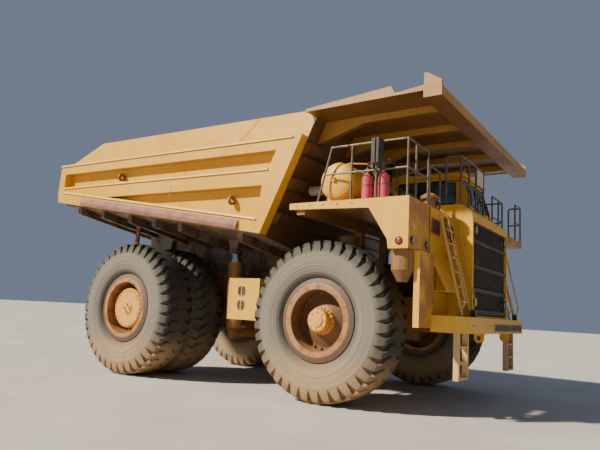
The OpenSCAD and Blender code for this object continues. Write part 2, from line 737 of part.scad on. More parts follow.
rail_z = deck_z + handrail_h;
mid_z = deck_z + handrail_h / 2;
rail_y = -deck_half + 50;
rail_x = deck_reach - 60;

module handrails() place() color(rust) {
    both_sides() {
        bent_tube([[46, rail_y, deck_z + 8], [310, rail_y, rail_z], [rail_x, rail_y, rail_z], [rail_x, -2120, rail_z],
            [rail_x, -2120, deck_z]], handrail_r);
        bent_tube([[180, rail_y, mid_z], [rail_x, rail_y, mid_z], [rail_x, -2120, mid_z]], handrail_r * 0.9);
        for (x = [750, 1250, rail_x]) bar([x, rail_y, deck_z], [x, rail_y, rail_z], handrail_r);
        bar([rail_x, -2690, deck_z], [rail_x, -2690, rail_z], handrail_r);
    }
    bent_tube([[rail_x, -2050, deck_z], [rail_x, -2050, deck_z + 780], [rail_x, -1500, deck_z + 780],
        [rail_x, -1500, deck_z]], handrail_r);
    // guard over the radiator housing
    bent_tube([[rail_x, -1160, hood_top_z], [rail_x, -1160, rail_z + 150], [2150, -1160, rail_z + 150],
        [2150, 330, rail_z + 150], [2150, 330, hood_top_z]], handrail_r);
    for (y = [-1160, -660, -200]) bar([2150, y, hood_top_z], [2150, y, rail_z + 150], handrail_r);
    bent_tube([[rail_x, -1160, mid_z + 150], [2150, -1160, mid_z + 150], [2150, 330, mid_z + 150]], handrail_r * 0.9);
    block([2145, 2155], [-200, 330], [rail_z - 260, rail_z + 150]);
}

mirror_x = [1270, 1410];
mirror_y = [-3320, -3110];

module mirrors() place() color(black) both_sides() {
    block(mirror_x, mirror_y, [mid_z + 60, rail_z - 10]);
    block([mirror_x[0] - 40, mirror_x[0] + 1], [mirror_y[1] - 120, mirror_y[1] - 60], [mid_z - 20, rail_z + 20]);
    for (z = [mid_z, rail_z])
        bar([mirror_x[0] - 20, mirror_y[1] - 90, z], [mirror_x[0] - 20, rail_y - handrail_r - seat_gap, z], 14);
}

// Ladders from the bumper to the decks, and the steps that hang under the bumper

ladder_y = [1400, 1880];
ladder_top = [2010, deck_z - 140];
ladder_foot = [2440, bumper_z + 8];
ladder_rungs = 6;
step_drop = 830;
step_x = 2350;
step_count = 3;

module ladders() place() color(paint) both_sides() {
    for (y = ladder_y) bar([ladder_top[0], -y, ladder_top[1]], [ladder_foot[0], -y, ladder_foot[1]], 28);
    for (i = [1 : ladder_rungs]) {
        s = i / (ladder_rungs + 1);
        x = ladder_top[0] + s * (ladder_foot[0] - ladder_top[0]);
        z = ladder_top[1] + s * (ladder_foot[1] - ladder_top[1]);
        block([x - 40, x + 40], [-ladder_y[1], -ladder_y[0]], [z - 15, z + 15]);
    }
    for (y = ladder_y) block([step_x - 5, step_x + 5], [-y - 35, -y + 35], [bumper_low_z - step_drop, bumper_low_z]);
    for (i = [1 : step_count])
        block([step_x - 60, step_x + 60], [-ladder_y[1], -ladder_y[0]],
            [bumper_low_z - step_drop * i / step_count + 10, bumper_low_z - step_drop * i / step_count + 50]);
}

// Things on and under the decks

air_tank_at = [330, -deck_half + 150, deck_z + 430];

module air_tank() place() color(paint) {
    r = air_tank_r;
    arc = [for (a = [0 : 15 : 90]) [r * cos(a), 0.35 * r * sin(a)]];
    translate(air_tank_at) rotate([-90, 0, 0]) rotate_extrude() polygon(concat(
        [[0, 0]], [for (i = [len(arc) - 2 : -1 : 0]) [arc[i][0], 0.35 * r - arc[i][1]]],
        [for (p = arc) [p[0], air_tank_len - 0.35 * r + p[1]]]
    ));
    for (y = [220, 700]) block([air_tank_at[0] - 260, air_tank_at[0] + 260], [air_tank_at[1] + y, air_tank_at[1] + y + 80],
        [deck_z, air_tank_at[2] - 180]);
}

extinguisher_y = -deck_half + 200;

module extinguishers() place() color(red) for (x = [1000, 1330]) {
    translate([x, extinguisher_y, deck_z]) cylinder(h = 440, r = 100);
    translate([x, extinguisher_y, deck_z + 430]) cylinder(h = 60, r1 = 90, r2 = 40);
    translate([x, extinguisher_y, deck_z + 480]) cylinder(h = 70, r = 30);
}

cleaner_r = 200;
cleaner_at = [deck_reach - cleaner_r - deck_plate, -deck_half + drop_shelf + cleaner_r - 20];

module air_cleaners() place() color(paint) {
    both_sides() {
        translate([cleaner_at[0], cleaner_at[1], drop_low_z - 350]) cylinder(h = 350 - seat_gap, r = cleaner_r);
        translate([cleaner_at[0], cleaner_at[1], drop_low_z - 550]) cylinder(h = 201, r1 = 90, r2 = cleaner_r);
        translate([cleaner_at[0], cleaner_at[1], drop_low_z - 20])
            cylinder(h = deck_z - deck_plate - drop_low_z + 20, r = cleaner_r - 50);
    }
    translate([1740, -1750, deck_z]) cylinder(h = 200, r = 110);
    translate([1740, -1750, deck_z + 200]) cylinder(h = 60, r = 170);
    translate([1740, -1750, deck_z + 259]) cylinder(h = 60, r1 = 170, r2 = 60);
}

exhaust_y = -deck_half + 850;

module exhaust() place() color(steel) both_sides() {
    bar([-640, exhaust_y, deck_z + 430], [-90, exhaust_y, deck_z + 430], 100);
    bar([-170, exhaust_y, deck_z + 420], [-170, exhaust_y, deck_z], 70);
}

tank_x = [hoist_x + hoist_r + 45, hoist_x + hoist_r + 45 + side_tank_len];
tank_z = frame_low_z + 20;

module side_tanks() place() color(paint) both_sides() {
    block(tank_x, [-side_tank_y, -rail_out - 350], [tank_z, tank_z + side_tank_h]);
    block([tank_x[0] + 100, tank_x[1] - 100], [-rail_out - 351, -rail_out], [tank_z + 60, tank_z + 300]);
}

// Bed

rise = tan(rail_rise);
bed_half = bed_w / 2;
sheet_out = bed_half - rib_depth;
sheet_in = sheet_out - bed_plate;
front_top_x = -430;
cut_x = tail_x + 1500;
wall_t = bed_plate;
far = 12000;

function floor_z(x) = bed_low_z + (-bed_low_back - x) * tan(floor_rise);
function wall_x(z) = -bed_low_back + (z - bed_low_z) * tan(wall_lean);
function line_z(z, x) = z + (front_top_x - x) * rise;

top_rail_z = bed_top_z - extension_h;
mid_rib_z = top_rail_z - top_rail_h - recess_h;
tail_low = [tail_x + 50, floor_z(tail_x + 50)];
tail_high = [tail_x + 50, line_z(top_rail_z, tail_x) - 10];
side_outline = [
    [-bed_low_back, bed_low_z], [wall_x(bed_top_z - 250), bed_top_z - 250], [front_top_x, bed_top_z],
    [cut_x, line_z(bed_top_z, cut_x)], tail_high, [tail_x, tail_low[1] + 230], tail_low
];

// The space behind the front wall and between the side sheets
module between_sheets(y, back = tail_x) {
    along_y([[back, bed_low_z - 2000], [wall_x(bed_low_z - 2000) - wall_t, bed_low_z - 2000],
        [wall_x(bed_low_z + 4000) - wall_t, bed_low_z + 4000], [back, bed_low_z + 4000]], y);
}

// A slab under the right half of the floor, between two depths below its top face
module floor_slab(low, high) {
    translate([-bed_low_back, -sheet_in, bed_low_z]) rotate([-floor_fall, floor_rise, 0])
        translate([-far, -400, -low]) cube([far + 3000, 400 + sheet_in + 600, low - high]);
}

bolster_x = [-2150, -4000, -4900, -5800, -6900, -7900];
bolster_t = 140;
bolster_h = 190;
floor_t = 30;
beam_y = [rail_in + 30, rail_out - 30];
beam_x = [-6900, -1700];
ear_gap = 12;
hoist_ear_t = 50;
hoist_top = [-hoist_top_back, hoist_high_z];

function rail_top_z(x) = x > -1200 ? frame_top_z
    : x > -2600 ? frame_top_z + 220 * (-1200 - x) / 1400
    : x > rear_x + 1200 ? frame_top_z + 220 + (rail_rear_top_z - 280 - frame_top_z) * (-2600 - x) / (wheelbase - 3800)
    : rail_rear_top_z;

pad_gap = 20;

// Everything that is welded under the right half of the floor
module underfloor() {
    along_y([
        [beam_x[1], rail_top_z(beam_x[1]) + 500], [beam_x[1] - 400, rail_top_z(beam_x[1] - 400) + pad_gap],
        [-2600, frame_top_z + 220 + pad_gap], [rear_x + 1200, rail_rear_top_z + pad_gap], [rail_end_x, rail_rear_top_z + pad_gap],
        [beam_x[0] - 200, rail_rear_top_z + 400], [beam_x[0] - 400, 4200], [beam_x[1], 4200]
    ], [-beam_y[1], -beam_y[0]]);
    difference() {
        along_y([[hinge_x - 160, hinge_z - 40], [hinge_x - 110, hinge_z - 130], [hinge_x + 110, hinge_z - 130],
            [hinge_x + 160, hinge_z - 40], [hinge_x + 420, 4000], [hinge_x - 420, 4000]], [-hinge_ear_y[1], -hinge_ear_y[0]]);
        translate([hinge_x, 0, hinge_z]) rotate([90, 0, 0]) cylinder(h = rail_out + 200, r = hinge_pin_r + run_gap);
    }
    for (s = [-1, 1]) difference() {
        y = -hoist_y + s * (hoist_eye_half + ear_gap + hoist_ear_t / 2);
        union() {
            translate([hoist_top[0], y + hoist_ear_t / 2, hoist_top[1]]) rotate([90, 0, 0]) cylinder(h = hoist_ear_t, r = 110);
            along_y([[hoist_top[0] - 105, hoist_top[1]], [hoist_top[0] + 105, hoist_top[1]], [hoist_top[0] + 260, 3600], [hoist_top[0] - 260, 3600]],
                [y - hoist_ear_t / 2, y + hoist_ear_t / 2]);
        }
    }
}

ejector_y = rear_track / 2;
ejector_top = [-6030, 3750];
ejector_foot = [-6100, 2050];
ejector_t = 50;

// Ears under the floor that a rock ejector hangs between
module ejector_ears() {
    for (y = [-ejector_t / 2 - seat_gap - 30, ejector_t / 2 + seat_gap])
        along_y([[ejector_top[0] - 130, ejector_top[1] - 120], [ejector_top[0] + 130, ejector_top[1] - 120],
            [ejector_top[0] + 160, 4100], [ejector_top[0] - 160, 4100]], [-ejector_y + y, -ejector_y + y + 30]);
}

module floor_half() {
    intersection() {
        between_sheets([-sheet_in, 0], tail_low[0]);
        floor_slab(floor_t, 0);
    }
    intersection() {
        union() {
            intersection() {
                floor_slab(floor_t + bolster_h, floor_t - 5);
                for (x = bolster_x) block([x, x + bolster_t], [-sheet_in, 0], [2000, 6000]);
            }
            underfloor();
            ejector_ears();
        }
        floor_slab(2500, floor_t - 5);
        block([-far, 0], [-sheet_in, 0], [0, far]);
    }
}

module bed_floor() place() color(dark_paint) both_sides() floor_half();

top_rail_low_z = top_rail_z - top_rail_h;
mid_rib_low_z = mid_rib_z - mid_rib_h;

// Where the top of the bottom rail meets the middle rib's underside
meet_x = (bed_low_z + low_rail_h - bed_low_back * tan(floor_rise) - mid_rib_low_z - front_top_x * rise)
    / (tan(floor_rise) - rise);
tail_post_x = tail_x + 260;
post_x_high = -1090;
post_x_mid = -1410;
post_x_low = -1470;

function low_rail_z(x) = floor_z(x) + low_rail_h;

recesses = [
    [[tail_x - 100, line_z(top_rail_z, tail_x - 100)], [0, line_z(top_rail_z, 0)], [0, bed_top_z + 900],
        [tail_x - 100, bed_top_z + 900]],
    [[tail_post_x, line_z(top_rail_low_z, tail_post_x)], [post_x_high, line_z(top_rail_low_z, post_x_high)],
        [post_x_mid + 155, line_z(mid_rib_z, post_x_mid + 155)], [tail_post_x, line_z(mid_rib_z, tail_post_x)]],
    [[post_x_mid, line_z(mid_rib_low_z, post_x_mid)], [post_x_low, low_rail_z(post_x_low)],
        [meet_x, low_rail_z(meet_x)]]
];

// A side of the bed: sheet, rails, ribs and end posts as one box section, recessed between them
module bed_side() {
    difference() {
        along_y(side_outline, [-bed_half, -sheet_in]);
        for (r = recesses) along_y(r, [-bed_half - 1, -sheet_out]);
    }
}

module bed_sides() place() color(paint) both_sides() bed_side();

wall_outline = [
    [wall_x(2600), 2600], [wall_x(canopy_z - 40), canopy_z - 40], [wall_x(canopy_z - 40) - wall_t, canopy_z - 40],
    [wall_x(2600) - wall_t, 2600]
];

module bed_front_wall() place() color(paint) both_sides() difference() {
    union() {
        along_y(wall_outline, [-sheet_in, 0]);
        // box ribs across the wall's front
        for (z = [3400, 4100, 4800])
            along_y([[wall_x(z) - 5, z], [wall_x(z) + 150, z + 40], [wall_x(z + 260) + 150, z + 220], [wall_x(z + 260) - 5, z + 260]],
                [-sheet_in, 0]);
    }
    floor_slab(3000, floor_t);
}

// Canopy over the decks, carried by the front wall
canopy_half = canopy_w / 2;
canopy_back = wall_x(canopy_z) - 60;
rib_y = [for (i = [0 : canopy_ribs - 1]) (i - (canopy_ribs - 1) / 2) * (canopy_w - 1600) / (canopy_ribs - 1)];

module bed_canopy() place() color(rust) {
    block([canopy_back, canopy_reach], [-canopy_half, canopy_half], [canopy_z - 40, canopy_z]);
    block([canopy_reach - 330, canopy_reach], [-canopy_half, canopy_half], [canopy_z - canopy_beam_h, canopy_z - 39]);
    for (y = rib_y) along_y([
        [canopy_reach - 340, canopy_z - 39], [canopy_reach - 340, canopy_z - canopy_beam_h],
        [600, canopy_z - canopy_beam_h], [wall_x(5100) + seat_gap, 5100], [wall_x(canopy_z - 39) + seat_gap, canopy_z - 39]
    ], [y - 60, y + 60]);
    both_sides() along_y([[canopy_back, canopy_z - 60], [canopy_reach - 880, canopy_z - 50], [canopy_reach, canopy_z - 50],
        [canopy_reach, canopy_z + 90], [canopy_reach - 860, canopy_z - 10], [canopy_reach - 940, canopy_z + 140], [canopy_back, canopy_z]],
        [-canopy_half - 1, -canopy_half + 40]);
}

// Bars that hang between the rear tyres and throw out rocks
module rock_ejectors() place() color(rust) both_sides() {
    along_y([[ejector_top[0] + 60, ejector_top[1]], [ejector_foot[0] + 50, ejector_foot[1]], [ejector_foot[0] - 50, ejector_foot[1]],
        [ejector_top[0] - 60, ejector_top[1]]], [-ejector_y - ejector_t / 2, -ejector_y + ejector_t / 2]);
}

// Hoist cylinders in two stages, drawn along their own axis from the lower pin

hoist_len = norm([hoist_top[0] - hoist_x, hoist_top[1] - hoist_low_z]);
hoist_tilt = atan2(hoist_top[0] - hoist_x, hoist_top[1] - hoist_low_z);
sleeve_r = hoist_r - 35;
rod_r = sleeve_r - 35;
barrel_end = hoist_len - 320;
sleeve_end = hoist_len - 250;

module hoist_place() place() translate([hoist_x, -hoist_y, hoist_low_z]) rotate([0, hoist_tilt, 0]) children();

module hoist_barrel() color(dark_paint) hoist_place() difference() {
    union() {
        translate([0, hoist_eye_half, 0]) rotate([90, 0, 0]) cylinder(h = 2 * hoist_eye_half, r = 115);
        translate([-90, -hoist_eye_half, 0]) cube([180, 2 * hoist_eye_half, 160]);
        translate([0, 0, 150]) cylinder(h = barrel_end - 150, r = hoist_r);
    }
    translate([0, hoist_eye_half + 1, 0]) rotate([90, 0, 0]) cylinder(h = 2 * hoist_eye_half + 2, r = hoist_pin_r + run_gap);
    translate([0, 0, 220]) cylinder(h = barrel_end, r = sleeve_r + run_gap);
}

module hoist_sleeve() color(bright) hoist_place() difference() {
    translate([0, 0, 250]) cylinder(h = sleeve_end - 250, r = sleeve_r);
    translate([0, 0, 290]) cylinder(h = sleeve_end, r = rod_r + run_gap);
}

module hoist_rod() color(bright) hoist_place() difference() {
    union() {
        translate([0, 0, 320]) cylinder(h = hoist_len - 320 - 125, r = rod_r);
        translate([-85, -hoist_eye_half, hoist_len - 130]) cube([170, 2 * hoist_eye_half, 130]);
        translate([0, hoist_eye_half, hoist_len]) rotate([90, 0, 0]) cylinder(h = 2 * hoist_eye_half, r = 100);
    }
    translate([0, hoist_eye_half + 1, hoist_len]) rotate([90, 0, 0]) cylinder(h = 2 * hoist_eye_half + 2, r = hoist_pin_r + run_gap);
}

module hoist_barrel_right() hoist_barrel();
module hoist_barrel_left() left_side() hoist_barrel();
module hoist_sleeve_right() hoist_sleeve();
module hoist_sleeve_left() left_side() hoist_sleeve();
module hoist_rod_right() hoist_rod();
module hoist_rod_left() left_side() hoist_rod();

module front_tyre_right() place() tyre(0, front_y, 0);
module front_tyre_left() left_side() front_tyre_right();
module front_rim_right() place() front_rim();
module front_rim_left() left_side() front_rim_right();
module rear_tyres_right() place() rear_tyres();
module rear_tyres_left() left_side() rear_tyres_right();
module rear_rims_right() place() rear_rims();
module rear_rims_left() left_side() rear_rims_right();

frame();
bumper();
deck();
hood();
grille();
lamps();
cab_shell();
cab_glass();
cab_door();
door_glass();
cab_interior();
handrails();
mirrors();
ladders();
air_tank();
extinguishers();
air_cleaners();
exhaust();
engine();
side_tanks();
struts();
rear_axle();
knuckle_right();
knuckle_left();
tie_rod();
steer_barrel_right();
steer_barrel_left();
steer_rod_right();
steer_rod_left();
front_tyre_right();
front_tyre_left();
front_rim_right();
front_rim_left();
rear_tyres_right();
rear_tyres_left();
rear_rims_right();
rear_rims_left();
bed_floor();
bed_sides();
bed_front_wall();
bed_canopy();
rock_ejectors();
hoist_barrel_right();
hoist_barrel_left();
hoist_sleeve_right();
hoist_sleeve_left();
hoist_rod_right();
hoist_rod_left();
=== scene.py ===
"""Looks, lights and camera of a rigid-frame mining dump truck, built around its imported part.

Lengths are metres in the part's own frame: X points forward, Y to the truck's left and Z up.
Each sub-assembly is a class that holds its sizes, builds its pieces and dresses its nodes.
"""

from __future__ import annotations

import json
import logging
import math
from collections.abc import Mapping, Sequence
from dataclasses import dataclass
from enum import Enum

import bpy
import numpy as np
from mathutils import Matrix, Vector

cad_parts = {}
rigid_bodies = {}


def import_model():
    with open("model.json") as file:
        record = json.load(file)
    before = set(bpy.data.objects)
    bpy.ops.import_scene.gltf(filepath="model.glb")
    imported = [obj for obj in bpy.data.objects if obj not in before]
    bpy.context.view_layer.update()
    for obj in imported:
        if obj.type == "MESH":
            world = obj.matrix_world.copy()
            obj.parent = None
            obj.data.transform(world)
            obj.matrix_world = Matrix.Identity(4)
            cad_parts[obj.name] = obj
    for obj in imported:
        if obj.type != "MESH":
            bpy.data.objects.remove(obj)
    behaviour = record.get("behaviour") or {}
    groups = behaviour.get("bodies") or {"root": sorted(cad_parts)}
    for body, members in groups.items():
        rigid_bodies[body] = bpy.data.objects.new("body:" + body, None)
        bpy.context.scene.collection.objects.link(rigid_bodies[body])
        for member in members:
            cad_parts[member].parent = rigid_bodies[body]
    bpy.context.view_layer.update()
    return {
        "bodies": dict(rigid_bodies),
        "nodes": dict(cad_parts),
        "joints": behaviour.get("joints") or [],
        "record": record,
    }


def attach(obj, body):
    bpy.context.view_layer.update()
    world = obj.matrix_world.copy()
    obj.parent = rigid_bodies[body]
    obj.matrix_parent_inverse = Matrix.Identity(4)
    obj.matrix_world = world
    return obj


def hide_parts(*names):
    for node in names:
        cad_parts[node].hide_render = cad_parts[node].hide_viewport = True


log = logging.getLogger("dump_truck")

Array = np.ndarray
Socket = bpy.types.NodeSocket
Tree = bpy.types.NodeTree
Span = tuple[float, float]
Place = tuple[float, float, float]

FRONT_AXLE_X = 2.995
REAR_AXLE_X = -2.185
TYRE_RADIUS = 1.53
BAND_STEP = 6.283  # a wave texture's bands then lie about two sizes apart
X_AXIS, Y_AXIS, Z_AXIS = np.eye(3)


class Side(Enum):
    """The truck's two sides, each with its sign along Y."""

    RIGHT = -1
    LEFT = 1

    @property
    def word(self) -> str:
        """The side's name, as the part's bodies and nodes end."""
        return self.name.lower()


class Rise(Enum):
    """How a value goes from 0 to 1 between two levels."""

    SOFT = "SMOOTHSTEP"
    STRAIGHT = "LINEAR"


class Threads(Enum):
    """Which way a weave's threads lie."""

    ACROSS = "X"
    SLANTED = "DIAGONAL"


# Materials


def linear(code: str) -> tuple[float, float, float, float]:
    """Turns an sRGB hex colour into linear red, green, blue and alpha.

    Args:
        code: The colour, such as "#D8A13E".

    Returns:
        Each channel c as c / 12.92 up to 0.04045, and ((c + 0.055) / 1.055) ** 2.4 above it.
    """
    shares = [int(code[i : i + 2], 16) / 255 for i in (1, 3, 5)]
    red, green, blue = (c / 12.92 if c <= 0.04045 else ((c + 0.055) / 1.055) ** 2.4 for c in shares)
    return red, green, blue, 1.0


def add_node(tree: Tree, kind: str, inputs: Mapping | None = None, **settings: object) -> bpy.types.Node:
    """Adds a node with its settings, its constants and its links.

    Args:
        tree: The material's node tree.
        kind: Blender's name for the node, without "ShaderNode".
        inputs: Input name or number to a socket, which is linked, or to a value, which is set.
        settings: The node's own properties.

    Returns:
        The new node.
    """
    node = tree.nodes.new(f"ShaderNode{kind}")
    for name, value in settings.items():
        setattr(node, name, value)
    for name, value in (inputs or {}).items():
        if isinstance(value, Socket):
            tree.links.new(value, node.inputs[name])
        else:
            node.inputs[name].default_value = value
    return node


def ramp(tree: Tree, value: Socket, start: float, full: float, rise: Rise = Rise.SOFT) -> Socket:
    """Rises from 0 where the value is at start to 1 where it is at full."""
    cut = {"Value": value, "From Min": start, "From Max": full}
    return add_node(tree, "MapRange", cut, interpolation_type=rise.value).outputs[0]


def part_of(tree: Tree, source: str, axis: int) -> Socket:
    """One axis of the normal or of the place on the piece."""
    return add_node(tree, "SeparateXYZ", {0: add_node(tree, "TexCoord").outputs[source]}).outputs[axis]


@dataclass(frozen=True)
class Mask:
    """Where a coat or a relief shows, from 0 to 1: the product of all that is set here.

    Patches of size_mm are smooth noise, cut softly between the levels low and high. Stretch is the
    share of the noise's pace along X, Y and Z, and below one it draws the patches out. Edge_mm
    keeps what turns sharply within that radius. Facing and along hold an axis, the start and the
    full value of the normal's or the place's part there, and from_axle holds the X of an axle line
    and the distances from it. Threads, about two sizes apart, take the place of the patches.
    """

    size_mm: float = 0.0
    low: float = 0.3
    high: float = 0.7
    share: float = 1.0
    stretch: Place = (1.0, 1.0, 1.0)
    detail: float = 4.0
    edge_mm: float = 0.0
    facing: Place | None = None
    along: Place | None = None
    from_axle: Place | None = None
    threads: Threads | None = None
    inside: Mask | None = None

    def patches(self, tree: Tree) -> Socket:
        """Adds noise patches, or the threads of a weave.

        Args:
            tree: The material's node tree.

        Returns:
            How much shows at each place, from 0 to 1.
        """
        place = add_node(tree, "TexCoord").outputs["Object"]
        if self.threads:
            inputs = {"Vector": place, "Scale": 1000 / self.size_mm / BAND_STEP}
            way = self.threads.value
            return add_node(tree, "TexWave", inputs, wave_type="BANDS", bands_direction=way).outputs["Fac"]
        paced = add_node(tree, "Mapping", {"Vector": place, "Scale": tuple(self.stretch)}).outputs[0]
        inputs = {"Vector": paced, "Scale": 1000 / self.size_mm, "Detail": self.detail, "Roughness": 0.6}
        return ramp(tree, add_node(tree, "TexNoise", inputs).outputs[0], self.low, self.high)

    def sharp(self, tree: Tree) -> Socket:
        """Adds the mask of sharp edges.

        Args:
            tree: The material's node tree.

        Returns:
            0 to 1 as the cosine between the normal and one rounded over edge_mm falls off.
        """
        rounded = add_node(tree, "Bevel", {"Radius": self.edge_mm / 1000}, samples=4)
        plain = add_node(tree, "NewGeometry")
        pair = {0: rounded.outputs[0], 1: plain.outputs["Normal"]}
        cosine = add_node(tree, "VectorMath", pair, operation="DOT_PRODUCT")
        return ramp(tree, cosine.outputs["Value"], 0.99, 0.86, Rise.STRAIGHT)

    def out_from_axle(self, tree: Tree) -> Socket:
        """Adds the mask of the distance from a wheel's axle line.

        Args:
            tree: The material's node tree.

        Returns:
            0 to 1 as the length of the place's X and Z from the axle goes from start to full.
        """
        axle_x, start, full = self.from_axle
        place = add_node(tree, "TexCoord").outputs["Object"]
        hub = (axle_x, 0, TYRE_RADIUS)
        offset = add_node(tree, "VectorMath", {0: place, 1: hub}, operation="SUBTRACT").outputs[0]
        upright = add_node(tree, "VectorMath", {0: offset, 1: (1, 0, 1)}, operation="MULTIPLY").outputs[0]
        reach = add_node(tree, "VectorMath", {0: upright}, operation="LENGTH")
        return ramp(tree, reach.outputs["Value"], start, full)

    def build(self, tree: Tree) -> Socket:
        """Adds the nodes of all that is set.

        Args:
            tree: The material's node tree.

        Returns:
            The product of their values.
        """
        factors: list[Socket | float] = []
        if self.edge_mm:
            factors.append(self.sharp(tree))
        if self.facing:
            factors.append(ramp(tree, part_of(tree, "Normal", self.facing[0]), *self.facing[1:]))
        if self.along:
            factors.append(ramp(tree, part_of(tree, "Object", self.along[0]), *self.along[1:]))
        if self.from_axle:
            factors.append(self.out_from_axle(tree))
        if self.size_mm:
            factors.append(self.patches(tree))
        if self.inside:
            factors.append(self.inside.build(tree))
        if self.share != 1:
            factors.append(self.share)
        made = factors[0]
        for factor in factors[1:]:
            made = add_node(tree, "Math", {0: made, 1: factor}, operation="MULTIPLY").outputs[0]
        return made


@dataclass(frozen=True)
class Finish:
    """A real material. Coats lie over the base from the lowest up, and heights are in millimetres.

    Roughness is one number, or a mask with the number where it is bare and where it is full.
    """

    name: str
    base: str
    coats: tuple[tuple[str, Mask], ...] = ()
    heights: tuple[tuple[Mask, float], ...] = ()
    roughness: float | tuple[Mask, float, float] = 0.6
    numbers: tuple[tuple[str, float], ...] = ()

    def build(self) -> bpy.types.Material:
        """Makes the material, or returns it if it has been made.

        Returns:
            The material, named for this finish.
        """
        made = bpy.data.materials.get(self.name)
        if made is not None:
            return made
        made = bpy.data.materials.new(self.name)
        made.use_nodes = True
        tree = made.node_tree
        tree.nodes.clear()
        colour: Socket | tuple = linear(self.base)
        for code, mask in self.coats:
            coat = {0: mask.build(tree), 6: colour, 7: linear(code)}
            colour = add_node(tree, "Mix", coat, data_type="RGBA").outputs[2]
        inputs = {"Base Color": colour, "Roughness": self.roughness, **dict(self.numbers)}
        if isinstance(self.roughness, tuple):
            mask, bare, full = self.roughness
            blend = {"Value": mask.build(tree), "To Min": bare, "To Max": full}
            inputs["Roughness"] = add_node(tree, "MapRange", blend).outputs[0]
        for mask, depth_mm in self.heights:
            bump = {"Height": mask.build(tree), "Distance": depth_mm / 1000, "Strength": 1.0}
            if "Normal" in inputs:
                bump["Normal"] = inputs["Normal"]
            inputs["Normal"] = add_node(tree, "Bump", bump).outputs[0]
        surface = add_node(tree, "BsdfPrincipled", inputs)
        add_node(tree, "OutputMaterial", {"Surface": surface.outputs[0]})
        log.info("finish %s", self.name)
        return made


def grain(size_mm: float, depth_mm: float, detail: float = 4.0) -> tuple[Mask, float]:
    """An even fine relief: patches of a size and their depth."""
    return Mask(size_mm, detail=detail), depth_mm


def enamel(
    name: str,
    paint: str = "#DCA82C",
    bleached: str = "#E5B542",
    grime_and_shade: str = "#7D5830",
    rust_share: float = 0.35,
    grime_share: float = 0.25,
    underside: float = 0.5,
    front_share: float = 0.0,
) -> Finish:
    """Sprayed alkyd enamel on rolled steel plate, long in the sun.

    It gives the eye a chalky coat with paler bleached fields, rust along edges and in chips, brown
    runs below them, road dust on what faces up, grime with painted shade on what faces down, and
    an oxide stain with painted shade on what faces forward.

    Args:
        name: The material's name.
        paint: The paint's own colour.
        bleached: Its colour where the sun has bleached it.
        grime_and_shade: The colour of its runs and its underside.
        rust_share: How much of its edges and chips has rusted.
        grime_share: How strong the runs are.
        underside: How dark what faces down is: grime with painted shade.
        front_share: How stained what faces forward is: oxide stain with painted shade.

    Returns:
        The finish.
    """
    fields = Mask(1700, 0.36, 0.7, 0.6)
    chips = Mask(40, 0.68, 0.7, rust_share * 2, inside=Mask(800, 0.5, 0.62))
    rust, gloss = "#6B3A22", 0.42
    return Finish(
        name,
        paint,
        (
            (bleached, fields),
            (grime_and_shade, Mask(70, 0.54, 0.78, grime_share, (1, 1, 0.06))),
            # Oxide stain on what faces forward, partly painted shade of the front faces.
            ("#94533A", Mask(420, 0.25, 0.6, front_share, facing=(0, 0.8, 0.97))),
            # Grime with painted shade on what faces down.
            (grime_and_shade, Mask(600, 0.05, 0.4, underside, facing=(2, -0.15, -0.8))),
            (rust, chips),
            (rust, Mask(90, 0.42, 0.6, rust_share * 2, edge_mm=14)),
            ("#D2B084", Mask(350, 0.3, 0.6, 0.5, facing=(2, 0.6, 0.95))),
        ),
        ((Mask(700, 0.2, 0.8, detail=1), 9), (chips, -0.6), (Mask(6, 0.2, 0.8, detail=2), 0.25)),
        (fields, gloss, gloss + 0.25),
    )


def tyre_rubber(name: str, axle_x: float) -> Finish:
    """Vulcanised natural rubber: a matt, dusty wall, darker lugs that are partly scuffed and partly painted
    shade, and sand low on the wall that is partly dust and partly painted warm bounce light.

    Args:
        name: The material's name.
        axle_x: X of the axle that the tyres turn on.

    Returns:
        The finish.
    """
    rubber = "#3B3A36"
    coats = (
        # The wall is lightened below the tread; the tread keeps the dark base, partly scuffed rubber and
        # partly painted shade.
        ("#57554D", Mask(260, 0.1, 0.5, from_axle=(axle_x, 1.50, 1.40))),
        ("#7F7A6E", Mask(700, 0.0, 0.38, from_axle=(axle_x, 1.36, 1.22))),
        (rubber, Mask(share=0.55, from_axle=(axle_x, 0.95, 0.86))),
        # Sand colour low on the wall: dust and painted warm bounce light from the ground.
        ("#B3946A", Mask(500, 0.15, 0.5, 0.7, along=(2, 1.2, 0.3))),
        ("#6A675E", Mask(45, 0.56, 0.7, 0.45)),
    )
    relief = (grain(30, 1.5), grain(8, 0.6))
    return Finish(name, rubber, coats, relief, 0.86, (("Specular IOR Level", 0.3),))


def rim_enamel(name: str, axle_x: float, hub_radius: float) -> Finish:
    """Enamel on a rolled steel rim: in rings, a yellow hub, brown dish, orange lip and rusty gutter.

    Args:
        name: The material's name.
        axle_x: X of the axle that the rims turn on.
        hub_radius: Where the hub's colour ends.

    Returns:
        The finish.
    """
    rust = "#70452D"
    blooms = Mask(160, 0.45, 0.62, 0.6)
    coats = (
        ("#78583A", Mask(from_axle=(axle_x, hub_radius - 0.004, hub_radius + 0.004))),
        ("#B07C46", Mask(from_axle=(axle_x, 0.580, 0.588))),
        ("#5F5046", Mask(from_axle=(axle_x, 0.684, 0.692))),
        (rust, Mask(from_axle=(axle_x, 0.2, 0.6), inside=blooms)),
        (rust, Mask(24, 0.58, 0.68, 0.5)),
        ("#B08A58", Mask(200, 0.3, 0.6, 0.6, facing=(2, 0.3, 0.9))),
    )
    return Finish(name, "#DFA648", coats, ((blooms, 0.8), grain(7, 0.4)), 0.58)


